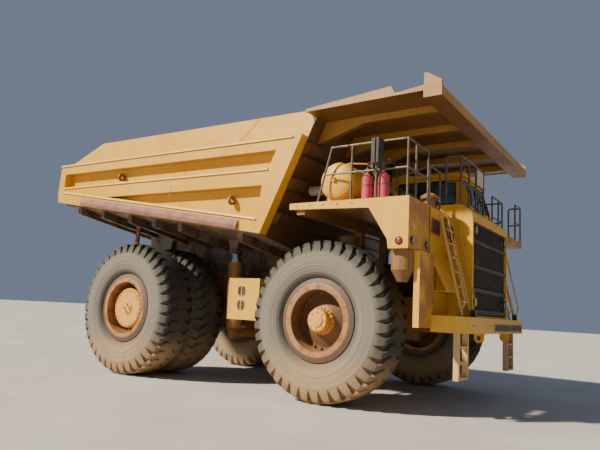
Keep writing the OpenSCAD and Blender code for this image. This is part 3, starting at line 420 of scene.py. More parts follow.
def rusted_steel(name: str, paint: str, rust: str, dust: str = "#B08C66", share: float = 0.8) -> Finish:
    """Rolled mild steel open to the rain: rough, pitted rust in patches, with paint between them.

    Args:
        name: The material's name.
        paint: The colour between the patches.
        rust: The patches' colour.
        dust: The colour of the dust on what faces up.
        share: How strong the patches are.

    Returns:
        The finish.
    """
    fields = Mask(260, 0.4, 0.6, share)
    coats = (
        (rust, fields),
        ("#4A2E20", Mask(30, 0.55, 0.66, 0.6)),
        (rust, Mask(share=0.6, edge_mm=12)),
        (dust, Mask(200, 0.3, 0.6, 0.5, facing=(2, 0.4, 0.9))),
    )
    return Finish(name, paint, coats, ((fields, 0.8), grain(7, 0.5)), 0.72, (("Metallic", 0.15),))


def matt_enamel(name: str, coat: str, dust: str) -> Finish:
    """Matt stoving enamel on pressed steel: an even coat, dusted brown, paler on its rubbed edges.

    Args:
        name: The material's name.
        coat: The enamel's colour.
        dust: The colour of the dust and of the rubbed edges.

    Returns:
        The finish.
    """
    film = Mask(260, 0.38, 0.66, 0.45)
    coats = ((dust, film), (dust, Mask(share=0.4, edge_mm=6)))
    return Finish(name, coat, coats, (grain(12, 0.3),), (film, 0.5, 0.85))


def moulded_lens(name: str, glass: str, dust: str) -> Finish:
    """Pressed lamp glass over a silvered bowl: a slightly milky disc with fine ribs.

    Args:
        name: The material's name.
        glass: The glass's colour.
        dust: The colour of the dust on it.

    Returns:
        The finish.
    """
    ribs = Mask(14, stretch=(1, 1, 0.05), detail=0)
    coats = ((dust, Mask(60, 0.45, 0.7, 0.5)),)
    return Finish(name, glass, coats, ((ribs, 0.8),), 0.18, (("Coat Weight", 0.6),))


def filmed(
    name: str,
    base: str,
    film: str,
    mask: Mask,
    rough: Span,
    heights: tuple[tuple[Mask, float], ...],
    numbers: tuple[tuple[str, float], ...] = (),
) -> Finish:
    """A material under one film, whose roughness goes with it: rough is bare, then covered."""
    return Finish(name, base, ((film, mask),), heights, (mask, *rough), numbers)


BODY_ENAMEL = enamel("Sun-bleached ochre enamel")
# Deck: oxide stain with painted shade on what faces forward, and grime with painted shade on what faces
# down.
DECK_ENAMEL = enamel("Oxide-stained deck enamel", front_share=0.75, rust_share=0.5, underside=0.9)
# Chassis: darker grime-brown enamel, which also stands as painted shade on the air cleaners.
CHASSIS_ENAMEL = enamel("Road-grimed chassis enamel", "#8A5F2C", "#9A7444", "#4E3822", 0.6, 0.7, 0.9)
# Canopy: rust stains, with its paint and its underside darkened as painted shade.
CANOPY_ENAMEL = enamel("Rust-stained canopy enamel", "#A2762E", "#B68D44", "#5E3C20", 0.8, 0.5, 0.9)
# Bed front wall: dark rust, with its paint darkened as painted shade under the canopy.
WALL_ENAMEL = enamel("Soot-stained wall enamel", "#5E4020", "#74502A", "#3A2818", 0.6, 0.6, 0.9)
STEP_ENAMEL = enamel("Foot-worn step enamel", "#C9A05A", "#DCC69A", rust_share=0.9)
RED_ENAMEL = enamel("Faded red cylinder enamel", "#B8394A", "#CC6474", rust_share=0.25)
FRONT_RIM = rim_enamel("Rusted front rim enamel", FRONT_AXLE_X, 0.266)
REAR_RIM = rim_enamel("Rusted rear rim enamel", REAR_AXLE_X, 0.47)
GUARD_STEEL = rusted_steel("Rusted mauve guard steel", "#9A7263", "#84594A", "#B08C76")
EXHAUST_STEEL = rusted_steel("Heat-dulled exhaust steel", "#8D8A86", "#7B6A5C", share=0.5)
FRONT_RUBBER = tyre_rubber("Dusty front tyre rubber", FRONT_AXLE_X)
REAR_RUBBER = tyre_rubber("Dusty rear tyre rubber", REAR_AXLE_X)
GRILLE_ENAMEL = matt_enamel("Dusted black stoving enamel", "#2A2623", "#6A5848")
BOARD_ENAMEL = matt_enamel("Blank white board enamel", "#C9C2B2", "#A08868")
LAMP_GLASS = moulded_lens("Pressed lamp glass", "#8A8880", "#8C7A60")
RED_GLASS = moulded_lens("Pressed red lamp glass", "#A8281C", "#8C5A44")

# Wear-resistant steel plate: half metallic, long scratches along the floor under brown dust.
SCRATCHES, RUSTY = Mask(40, 0.45, 0.65, stretch=(0.05, 1, 1)), Mask(450, 0.42, 0.6)
BED_PLATE = Finish(
    "Rock-scoured bed plate",
    "#6F6A64",
    (
        ("#6A4A34", RUSTY),
        ("#9C8266", Mask(250, 0.45, 0.62, 0.6)),
        ("#6F6A64", Mask(40, 0.45, 0.65, 0.4, (0.05, 1, 1))),
    ),
    ((SCRATCHES, 0.8), grain(300, 6)),
    (RUSTY, 0.45, 0.75),
    (("Metallic", 0.45),),
)

# Weathered galvanised tube: a dull grey-brown metal with rust spots.
SPOTS = Mask(70, 0.5, 0.62)
RAIL_TUBE = Finish(
    "Weathered galvanised tube",
    "#6E6860",
    (("#6A452E", Mask(70, 0.5, 0.62, 0.75)),),
    ((SPOTS, 0.3),),
    (SPOTS, 0.45, 0.8),
    (("Metallic", 0.5),),
)

# Oily sand-cast iron: a dark coarse skin with brown dirt in its hollows.
CAST_IRON = Finish(
    "Oily sand-cast iron",
    "#3A332C",
    (("#5E4A36", Mask(300, 0.35, 0.6, 0.8)),),
    (grain(5, 0.6), (Mask(300, 0.35, 0.6), 1.5)),
    0.78,
    (("Metallic", 0.2),),
)

# Hard-chromed, ground steel: a bright mirror with fine rings and an oily film of dust.
ROD_CHROME = filmed(
    "Hard-chromed cylinder rod",
    "#C8C9C8",
    "#8A7A66",
    Mask(160, 0.5, 0.75, 0.5),
    (0.14, 0.5),
    ((Mask(25, stretch=(0.05, 0.05, 1)), 0.05),),
    (("Metallic", 1.0),),
)

# Tempered float glass: a dark see-through pane, green-grey, with reflections and dust.
CAB_GLASS = filmed(
    "Green-tinted cab glass",
    "#7FA3A0",
    "#A79C86",
    Mask(380, 0.5, 0.75, 0.35),
    (0.03, 0.4),
    (grain(500, 0.4, 1),),
    (("IOR", 1.5), ("Transmission Weight", 0.85)),
)

# Silvered float glass: a clean mirror, dulled by a film of dust.
GLASS_FILM = Mask(120, 0.5, 0.72, 0.5)
MIRROR_GLASS = filmed(
    "Silvered mirror glass",
    "#B9C2CC",
    "#8C8070",
    GLASS_FILM,
    (0.06, 0.45),
    ((GLASS_FILM, 0.1),),
    (("Metallic", 1.0),),
)

# Injection-moulded ABS: an even matt trim, finely pebbled, with a little dust.
TRIM_POLYMER = Finish(
    "Grained black trim polymer",
    "#2E2C2A",
    (("#6B6052", Mask(180, 0.45, 0.7, 0.35)),),
    ((Mask(3, 0.35, 0.65, detail=1), 0.3),),
)

# Extruded EPDM rubber of hoses and gaskets: a dull black cord or band, dusty on top.
HOSE_RUBBER = Finish(
    "Extruded black hose rubber",
    "#1E1C1B",
    (("#6B5F50", Mask(60, 0.42, 0.66, 0.45)),),
    (grain(4, 0.2),),
    0.7,
)

# Plain-woven polyester: a soft grey pad. The real 1 mm threads are drawn 8 to 9 mm apart to show.
SEAT_CLOTH = Finish(
    "Woven grey seat cloth",
    "#3F4248",
    (("#6F6A60", Mask(160, 0.45, 0.65, 0.6)),),
    ((Mask(4, threads=Threads.ACROSS), 0.4), (Mask(4, threads=Threads.SLANTED), 0.4)),
    0.9,
    (("Sheen Weight", 0.4),),
)

# Steel-trowelled concrete of the studio floor: an even pale ground, a little cloudy.
FLOOR_CONCRETE = Finish(
    "Pale trowelled concrete", "#C9C6C0", (("#BDB8B0", Mask(2200)),), (grain(20, 0.4),), 0.85
)


# Surfaces


@dataclass
class Surface:
    """Points of a shape and the faces between them, as whole arrays."""

    points: Array
    faces: list[Array]

    @staticmethod
    def grid(points: Array, wrap_rows: bool = False, wrap_columns: bool = False) -> Surface:
        """Quads between neighbouring points of a grid.

        Args:
            points: Array of rows by columns by 3.
            wrap_rows: Whether the last row joins the first.
            wrap_columns: Whether the last column joins the first.

        Returns:
            The surface; a quad joins (r, c), (r, c + 1), (r + 1, c + 1) and (r + 1, c).
        """
        rows, columns = points.shape[:2]
        number = np.arange(rows * columns).reshape(rows, columns)
        if wrap_rows:
            number = np.vstack([number, number[:1]])
        if wrap_columns:
            number = np.hstack([number, number[:, :1]])
        corners = (number[:-1, :-1], number[:-1, 1:], number[1:, 1:], number[1:, :-1])
        return Surface(points.reshape(-1, 3), [np.stack(corners, -1).reshape(-1, 4)])

    def outward(self) -> Surface:
        """Turns the faces of a closed surface outwards.

        Six times the volume is the sum of a . (b x c) over the fan of triangles of each face.

        Returns:
            The surface, with each face turned round where that sum is negative.
        """
        volume = 0.0
        for group in self.faces:
            fan = self.points[group]
            volume += float((fan[:, :1] * np.cross(fan[:, 1:-1], fan[:, 2:])).sum())
        return self if volume >= 0 else Surface(self.points, [f[:, ::-1] for f in self.faces])

    @staticmethod
    def joined(parts: Sequence[Surface]) -> Surface:
        """Makes closed surfaces one, their face numbers moved on by the points before.

        Args:
            parts: The surfaces.

        Returns:
            One surface with every part turned outwards.
        """
        parts = [p.outward() for p in parts]
        starts = np.cumsum([0, *(len(p.points) for p in parts[:-1])])
        faces = [f + start for part, start in zip(parts, starts) for f in part.faces]
        return Surface(np.vstack([p.points for p in parts]), faces)

    def paired(self) -> Surface:
        """The surface with its mirror image: Y changes sign and each face turns round."""
        image = Surface(self.points * (1, -1, 1), [f[:, ::-1] for f in self.faces])
        return Surface.joined([self, image])

    def copies(self, moves: Array) -> Surface:
        """Repeats the surface, each point plus each move.

        Args:
            moves: Array of n by 3.

        Returns:
            The n copies as one surface.
        """
        points = self.points[None] + moves[:, None]
        steps = np.arange(len(moves)) * len(self.points)
        faces = [(f[None] + steps[:, None, None]).reshape(-1, f.shape[1]) for f in self.faces]
        return Surface(points.reshape(-1, 3), faces)

    def capped(self, rows: int, columns: int) -> Surface:
        """Closes a grid whose columns wrap with one face over each of its two open ends.

        Args:
            rows: The grid's rows.
            columns: Its columns.

        Returns:
            The same surface.
        """
        self.faces.append(np.arange(columns)[None, ::-1])
        self.faces.append((np.arange(columns) + (rows - 1) * columns)[None])
        return self


def unit(vectors: Array) -> Array:
    """Vectors divided by their own length."""
    return vectors / np.linalg.norm(vectors, axis=-1, keepdims=True)


CLEAR_WAYS = unit(np.array([*np.eye(3), (1, 2, 3), (-2, 3, 1), (3, -1, 2), (2, 1, -3)], float))


def sweep(
    section: Array, path: Array, reference: Sequence[float] | None = None, closed: bool = False
) -> Surface:
    """Carries a closed profile along a path.

    At each path point the profile's first number runs along side = tangent x reference and its
    second along side x tangent, both made unit length. Open ends are capped with one face.

    Args:
        section: Array of k by 2.
        path: Array of n by 3.
        reference: A direction that is never along the path, or None for the clearest of a few.
        closed: Whether the path's end joins its start.

    Returns:
        The closed surface.
    """
    path = np.asarray(path, float)
    steps = np.roll(path, -1, 0) - np.roll(path, 1, 0) if closed else np.gradient(path, axis=0)
    tangents = unit(steps)
    if reference is None:
        reference = CLEAR_WAYS[np.abs(tangents @ CLEAR_WAYS.T).max(0).argmin()]
    across = unit(np.cross(tangents, np.asarray(reference, float)))
    up = np.cross(across, tangents)
    points = path[:, None] + section[None, :, :1] * across[:, None] + section[None, :, 1:] * up[:, None]
    made = Surface.grid(points, wrap_rows=closed, wrap_columns=True)
    if not closed:
        made.capped(len(path), len(section))
    return made.outward()


def plate(outline: Sequence[Sequence[float]], right: float, left: float) -> Surface:
    """An outline of places ahead of the front axle and heights, carried across from right to left."""
    path = np.array([(FRONT_AXLE_X, right, 0.0), (FRONT_AXLE_X, left, 0.0)])
    return sweep(np.asarray(outline, float), path, Z_AXIS)


def block(x: Sequence[float], y: Sequence[float], z: Sequence[float]) -> Surface:
    """A box between two values along each axis, its corners numbered by x, then y, then z.

    Args:
        x: Its back and front.
        y: Its right and left.
        z: Its foot and top.

    Returns:
        The closed box.
    """
    corners = np.stack(np.meshgrid(x, y, z, indexing="ij"), -1).reshape(-1, 3)
    faces = [(0, 1, 3, 2), (4, 6, 7, 5), (0, 4, 5, 1), (2, 3, 7, 6), (0, 2, 6, 4), (1, 5, 7, 3)]
    return Surface(corners.astype(float), [np.array(faces)]).outward()


def about(middle: float, half: float) -> Span:
    """The two values half a width either side of a middle."""
    return middle - half, middle + half


def ring(radius: float, count: int = 8) -> Array:
    """A circle's points, cosine and sine of even angles times the radius."""
    angle = np.arange(count) * 2 * np.pi / count
    return radius * np.stack([np.cos(angle), np.sin(angle)], -1)


def rounded_rectangle(width: float, height: float, radius: float, steps: int = 4) -> Array:
    """A rectangle's outline with each corner a quarter circle.

    Args:
        width: Its size along the first number.
        height: Its size along the second.
        radius: The corners' radius.
        steps: Points in each corner.

    Returns:
        Array of n by 2, anticlockwise: a corner's middle plus the radius times cosine and sine.
    """
    angle = ((np.arange(4) * np.pi / 2)[:, None] + np.linspace(0, np.pi / 2, steps)[None]).ravel()
    inset = np.array([[1, 1], [-1, 1], [-1, -1], [1, -1]]) * (width / 2 - radius, height / 2 - radius)
    return np.repeat(inset, steps, 0) + radius * np.stack([np.cos(angle), np.sin(angle)], -1)


def bent(points: Sequence[Sequence[float]], radius: float, steps: int = 7) -> Array:
    """A path through points whose inner corners are rounded.

    Each corner P becomes the curve (1-t)^2 A + 2t(1-t) P + t^2 B, with A and B at the radius from P
    along its two legs, or at 0.45 of the leg where that is shorter.

    Args:
        points: The corners, from end to end.
        radius: Distance from a corner at which its curve starts.
        steps: Points in each curve.

    Returns:
        Array of n by 3.
    """
    corners = np.asarray(points, float)
    inner = corners[1:-1]
    legs = [ends - inner for ends in (corners[:-2], corners[2:])]
    cuts = [np.minimum(radius, 0.45 * np.linalg.norm(leg, axis=1))[:, None] for leg in legs]
    start, end = (inner + unit(leg) * cut for leg, cut in zip(legs, cuts))
    t = np.linspace(0, 1, steps)[None, :, None]
    curve = (1 - t) ** 2 * start[:, None] + 2 * t * (1 - t) * inner[:, None] + t**2 * end[:, None]
    return np.vstack([corners[:1], curve.reshape(-1, 3), corners[-1:]])


def loop(corners: Sequence[Sequence[float]], radius: float) -> Array:
    """A closed path round corners, each rounded as bent() does; it starts half way along the last edge."""
    middle = (np.asarray(corners[0], float) + np.asarray(corners[-1], float)) / 2
    return bent([middle, *corners, middle], radius)[:-1]


def upright_frame(x: float, y: Span, z: Span, bend: float, thick: float) -> Surface:
    """A round bar bent into an upright rectangle that faces forward."""
    path = loop([(x, y[0], z[0]), (x, y[1], z[0]), (x, y[1], z[1]), (x, y[0], z[1])], bend)
    return sweep(ring(thick), path, X_AXIS, closed=True)


def tube(points: Sequence[Sequence[float]], radius: float, bend: float = 0.06, sides: int = 10) -> Surface:
    """A round tube along a bent path whose X is measured ahead of the front axle."""
    path = [(ahead(x), y, z) for x, y, z in points]
    return sweep(ring(radius, sides), bent(path, bend))


def bolt_heads(places: Array, axis: Array, radius: float, height: float) -> Surface:
    """Hexagonal heads, each a six-sided profile turned about the axis, at each place."""
    profile = [(radius, -0.002), (radius, height), (radius * 0.8, height * 1.2)]
    return turned(profile, (0, 0, 0), axis, 6).outward().copies(np.asarray(places, float))


def bolt_circle(hub: Array, out: Array, circle: Sequence[float], size: Span) -> Surface:
    """Bolt heads round a wheel.

    Args:
        hub: The wheel's middle.
        out: Unit direction from it to the wheel's outside.
        circle: How far out the circle lies, its radius and its count of heads.
        size: Radius and height of a head.

    Returns:
        The heads, at the middle plus the radius times cosine and sine of even angles in X and Z.
    """
    seat, radius, count = circle
    angle = np.arange(count) * 2 * np.pi / count
    spots = hub + out * seat + radius * np.stack([np.cos(angle), 0 * angle, np.sin(angle)], -1)
    return bolt_heads(spots, out, *size)


def turned(
    profile: Sequence[Sequence[float]], centre: Sequence[float], axis: Array, count: int = 48
) -> Surface:
    """Turns an open profile about an axis.

    Args:
        profile: Radius and distance along the axis, anticlockwise as the axis points up the page.
        centre: A point on the axis.
        axis: Unit direction of the axis.
        count: Steps round the axis.

    Returns:
        The surface; its ends are capped where they stand off the axis.
    """
    outline = np.asarray(profile, float)
    first = unit(np.cross(axis, Z_AXIS if abs(axis[2]) < 0.9 else X_AXIS))
    angle = np.arange(count) * 2 * np.pi / count
    outward = np.cos(angle)[:, None] * first + np.sin(angle)[:, None] * np.cross(axis, first)
    points = outline[:, None, :1] * outward[None] + outline[:, None, 1:] * axis + np.asarray(centre, float)
    return Surface.grid(points, wrap_columns=True).capped(len(outline), count)


def collar(profile: Sequence[Span], centre: Sequence[float], axis: Array) -> Surface:
    """A closed ring: the profile turned about the axis and joined to its own start."""
    points = turned(profile, centre, axis).points.reshape(len(profile), -1, 3)
    return Surface.grid(points, wrap_rows=True, wrap_columns=True).outward()


def square_collar(
    inner: float, outer: float, start: float, end: float, centre: Array, axis: Array
) -> Surface:
    """A collar of rectangular section between two radii and two distances along its axis."""
    return collar([(inner, start), (outer, start), (outer, end), (inner, end)], centre, axis)


def ahead(x: float) -> float:
    """X in the part's frame of a place so many metres ahead of the front axle."""
    return FRONT_AXLE_X + x


def inflate(piece: bpy.types.Object, reach: float) -> None:
    """Swells a pad by cloth simulation under inner pressure, and applies the result.

    The pad is remeshed to an even net of 8 mm, simulated for 16 frames without gravity, and no
    point is let move further than the reach.

    Args:
        piece: The closed pad.
        reach: The furthest that a point may move, in metres.
    """
    scene = bpy.context.scene
    remesh = piece.modifiers.new("even_net", "REMESH")
    remesh.mode, remesh.voxel_size = "VOXEL", 0.008
    apply_modifier(piece, remesh)
    start = mesh_points(piece.data)
    cloth = piece.modifiers.new("swelling", "CLOTH")
    cloth.settings.use_pressure = True
    cloth.settings.uniform_pressure_force = 4.0
    cloth.settings.effector_weights.gravity = 0.0
    for frame in range(1, 17):
        scene.frame_set(frame)
    apply_modifier(piece, cloth)
    scene.frame_set(1)
    moved = mesh_points(piece.data) - start
    size = np.linalg.norm(moved, axis=1, keepdims=True)
    capped = start + moved * np.minimum(1, reach / np.maximum(size, 1e-9))
    piece.data.vertices.foreach_set("co", capped.ravel())
    piece.data.shade_smooth()
    piece.data.update()


def mesh_points(mesh: bpy.types.Mesh) -> Array:
    """Reads a mesh's points.

    Args:
        mesh: The mesh.

    Returns:
        Array of n by 3.
    """
    flat = np.empty(len(mesh.vertices) * 3, np.float32)
    mesh.vertices.foreach_get("co", flat)
    return flat.reshape(-1, 3).astype(float)


def apply_modifier(piece: bpy.types.Object, modifier: bpy.types.Modifier) -> None:
    """Applies one modifier to the piece's mesh."""
    with bpy.context.temp_override(object=piece, active_object=piece, selected_objects=[piece]):
        bpy.ops.object.modifier_apply(modifier=modifier.name)


@dataclass
class SubAssembly:
    """A group of the part's nodes and the pieces added to them."""

    frame: dict
    body: str = "chassis"

    def dress(self, finishes: Mapping[Finish, str]) -> None:
        """Gives each finish to its nodes.

        Args:
            finishes: Finish to its nodes' names, with spaces between.
        """
        for finish, nodes in finishes.items():
            for node in nodes.split():
                mesh = self.frame["nodes"][node].data
                if not mesh.materials:
                    mesh.materials.append(None)
                for place in range(len(mesh.materials)):
                    mesh.materials[place] = finish.build()

    def add(
        self,
        name: str,
        parts: Sequence[Surface],
        finish: Finish,
        slot: str | None = None,
        body: str | None = None,
        pair: bool = False,
        crease: float = 35.0,
    ) -> bpy.types.Object:
        """Makes a piece, gives it its finish and lets it ride on a body.

        Args:
            name: The piece's name.
            parts: Its closed surfaces, placed in the part's frame.
            finish: Its material.
            slot: The record's material slot; not used.
            body: The body that it moves with, or None for the sub-assembly's own.
            pair: Whether the parts are the right side's, to be mirrored for the left.
            crease: Angle in degrees past which an edge stays sharp.

        Returns:
            The new object.
        """
        surface = Surface.joined(parts)
        surface = (surface.paired() if pair else surface).outward()
        faces = [face for group in surface.faces for face in group.tolist()]
        mesh = bpy.data.meshes.new(name)
        mesh.from_pydata(surface.points.tolist(), [], faces)
        mesh.shade_smooth()
        mesh.set_sharp_from_angle(angle=math.radians(crease))
        mesh.materials.append(finish.build())
        piece = bpy.data.objects.new(name, mesh)
        bpy.context.scene.collection.objects.link(piece)
        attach(piece, body or self.body)
        log.info("piece %s: %d points", name, len(surface.points))
        return piece


# Running gear


@dataclass
class Tyres(SubAssembly):
    """Six deep-lugged rock tyres, each one surface over angle and section."""

    half_width: float = 0.465
    bead_radius: float = 0.79
    lugs: int = 38
    groove_depth: float = 0.075
    groove_wall: float = 0.045
    ring_radii: tuple[float, ...] = (0.90, 1.02, 1.225)
    ring_height: float = 0.009
    front_y: float = 2.425
    rear_y: float = 2.1425
    pair_pitch: float = 1.06

    def section(self) -> tuple[Array, Array]:
        """The half section from bead to crown as radius and width, with the wall's moulded rings.

        Each ring lifts the wall by its height times exp(-(distance / 9 mm) squared).

        Returns:
            Radius and distance from the centre plane, for the side of positive width.
        """
        wall = [(0.001, -0.16), (0.012, -0.11), (0.06, -0.055), (0.18, -0.012), (0.31, 0.0), (0.45, -0.012)]
        shoulder = [(0.54, -0.032), (0.60, -0.05), (0.645, -0.066), (0.685, -0.085), (0.715, -0.13)]
        knots = np.array([*wall, *shoulder, (0.733, -0.25), (0.74, -0.465)])
        knots += (self.bead_radius, self.half_width)
        length = np.concatenate([[0], np.cumsum(np.linalg.norm(np.diff(knots, axis=0), axis=1))])
        dense = np.concatenate([np.linspace(0, length[6], 44)[:-1], np.linspace(length[6], length[-1], 30)])
        radius, width = np.interp(dense, length, knots[:, 0]), np.interp(dense, length, knots[:, 1])
        gap = (radius[:, None] - np.asarray(self.ring_radii)) / 0.009
        return radius, width + self.ring_height * np.exp(-(gap**2)).sum(1)

    def surface(self, axle_x: float, centre_y: float, turn: float) -> Surface:
        """One tyre.

        At section point s and cell c, with column share u, the angle is
        (c + u(s)) * 2 pi / lugs + lean(width). The columns follow the groove's walls, whose half
        width opens from the side wall to the shoulder and closes again towards the crown. The
        point lies on the section, moved inwards along its normal by the groove's depth there.

        Args:
            axle_x: X of the axle.
            centre_y: Y of the tyre's centre plane.
            turn: Angle that the tyre has rolled, in radians.

        Returns:
            The closed tyre, with its bead side joined by a short inner band.
        """
        r, w = self.section()
        r, w = np.concatenate([r, r[-2::-1]]), np.concatenate([w, -w[-2::-1]])
        slope_r, slope_w = np.gradient(r), np.gradient(w)
        size = np.hypot(slope_r, slope_w)
        span, crown = np.abs(w), r > 1.49
        on_tread = np.interp(r, [1.26, 1.32, 1.40, 1.47], [0, 0.35, 0.9, 1])
        centre_fade = np.interp(span, [0.06, 0.11, 0.2, 0.3], [0, 0.45, 0.85, 1])
        depth = self.groove_depth * on_tread * np.where(crown, centre_fade, 1)
        half = np.interp(r, [1.26, 1.40, 1.48], [0.03, 0.14, 0.22])
        half = np.where(crown, np.interp(span, [0.06, 0.15, 0.33], [0.05, 0.10, 0.22]), half)
        edge = half + self.groove_wall
        shares = np.stack([np.full_like(half, -0.5), -edge, -half, half, edge, (edge + 0.5) / 2], 1)
        lean = 0.9 * np.sin(np.clip(w / 0.33, -1, 1) * np.pi / 2) * np.exp(-((span / 0.30) ** 4))
        cells = np.arange(self.lugs)[None, :, None]
        angle = (cells + shares[:, None, :] + lean[:, None, None]) * (2 * np.pi / self.lugs) + turn
        sunk = depth[:, None, None] * np.array([0, 0, 1, 1, 0, 0.0])
        radius = r[:, None, None] - sunk * (-slope_w / size)[:, None, None] + 0 * angle
        width = w[:, None, None] - sunk * (slope_r / size)[:, None, None] + 0 * angle
        x, z = axle_x + radius * np.sin(angle), TYRE_RADIUS + radius * np.cos(angle)
        points = np.stack([x, centre_y + width, z], -1)
        return Surface.grid(points.reshape(len(r), -1, 3), wrap_rows=True, wrap_columns=True)

    def build(self) -> None:
        """Builds the six tyres in place of their nodes."""
        for side in Side:
            front = [self.surface(FRONT_AXLE_X, side.value * self.front_y, 0.05)]
            shifts = (-1, 1)
            middle = side.value * self.rear_y
            pair = [self.surface(REAR_AXLE_X, middle + s * self.pair_pitch / 2, 0.02 * s) for s in shifts]
            for node, tyres, body, rubber in (
                ("front_tyre", front, "front_wheel", FRONT_RUBBER),
                ("rear_tyres", pair, "rear_wheels", REAR_RUBBER),
            ):
                name = f"{node}_{side.word}"
                piece = self.add(f"{name}_lugged", tyres, rubber, "tyre_rubber", f"{body}_{side.word}")
                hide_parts(name)


@dataclass
class Rims(SubAssembly):
    """The rims' finishes, with their wheel nuts and hub bolts."""

    front_y: float = 2.425
    rear_y: float = 2.1425
    hub_face: float = 0.372
    flange_seat: float = 0.226
    drive_seat: float = 0.812
    nut: Span = (0.026, 0.036)

    def build(self) -> None:
        """Dresses the rims and bolts them up."""
        self.dress(
            {
                FRONT_RIM: "front_rim_right front_rim_left",
                REAR_RIM: "rear_rims_right rear_rims_left",
            }
        )
        for side in Side:
            self.bolt_up(side)

    def bolt_up(self, side: Side) -> None:
        """Adds one side's nuts and bolts, each circle standing on its own seat.

        Args:
            side: The truck's side.
        """
        out = side.value * Y_AXIS
        front = np.array([FRONT_AXLE_X, side.value * self.front_y, TYRE_RADIUS])
        rear = np.array([REAR_AXLE_X, side.value * self.rear_y, TYRE_RADIUS])
        face, flange, drive = self.hub_face, self.flange_seat, self.drive_seat
        front_set = [
            square_collar(0.21, 0.262, flange - 0.03, flange, front, out),
            turned([(0.12, face), (0.12, face + 0.02), (0.045, face + 0.03)], front, out),
            bolt_circle(front, out, (0.03, 0.537, 22), self.nut),
            bolt_circle(front, out, (flange, 0.243, 20), (0.017, 0.024)),
            bolt_circle(front, out, (face, 0.155, 8), (0.014, 0.014)),
        ]
        rear_set = [
            bolt_circle(rear, out, (0.50, 0.537, 22), self.nut),
            bolt_circle(rear, out, (drive, 0.415, 24), (0.016, 0.018)),
            bolt_circle(rear, out, (drive + 0.018, 0.082, 4), (0.024, 0.04)),
        ]
        self.add(f"front_hub_bolts_{side.word}", front_set, FRONT_RIM, body=f"front_wheel_{side.word}")
        self.add(f"rear_hub_bolts_{side.word}", rear_set, REAR_RIM, body=f"rear_wheels_{side.word}")


@dataclass
class Chassis(SubAssembly):
    """Frame, axles, cylinders and tanks, with the hoses that hang between them."""

    hose_radius: float = 0.022
    rail_y: float = 0.75

    def build(self) -> None:
        """Dresses the chassis nodes and hangs two loops of hose from each frame rail."""
        paired = {
            CHASSIS_ENAMEL: "knuckle steer_barrel hoist_barrel",
            ROD_CHROME: "steer_rod hoist_sleeve hoist_rod",
        }
        for finish, nodes in paired.items():
            self.dress({finish: " ".join(f"{node}_{side.word}" for node in nodes.split() for side in Side)})
        self.dress(
            {
                # The air cleaners take the darker chassis enamel as painted shade as well as grime.
                CHASSIS_ENAMEL: "frame struts rear_axle air_cleaners",
                CAST_IRON: "engine tie_rod",
                BODY_ENAMEL: "side_tanks air_tank",
                EXHAUST_STEEL: "exhaust",
                RED_ENAMEL: "extinguishers",
            }
        )
        y = self.rail_y
        upper = [(-2.0, y, 2.1), (-2.02, y + 0.25, 2.5), (-2.3, y + 0.62, 2.58), (-2.62, y + 0.95, 2.46)]
        upper.append((-2.66, y + 0.98, 2.33))
        lower = [(-1.85, y, 1.9), (-1.86, y + 0.2, 1.72), (-2.04, y + 0.4, 1.76)]
        hoses = [
            tube([(x, side.value * across, z) for x, across, z in route], self.hose_radius, 0.25)
            for side in Side
            for route in (upper, lower)
        ]
        self.add("chassis_hoses", hoses, HOSE_RUBBER)


# Bed


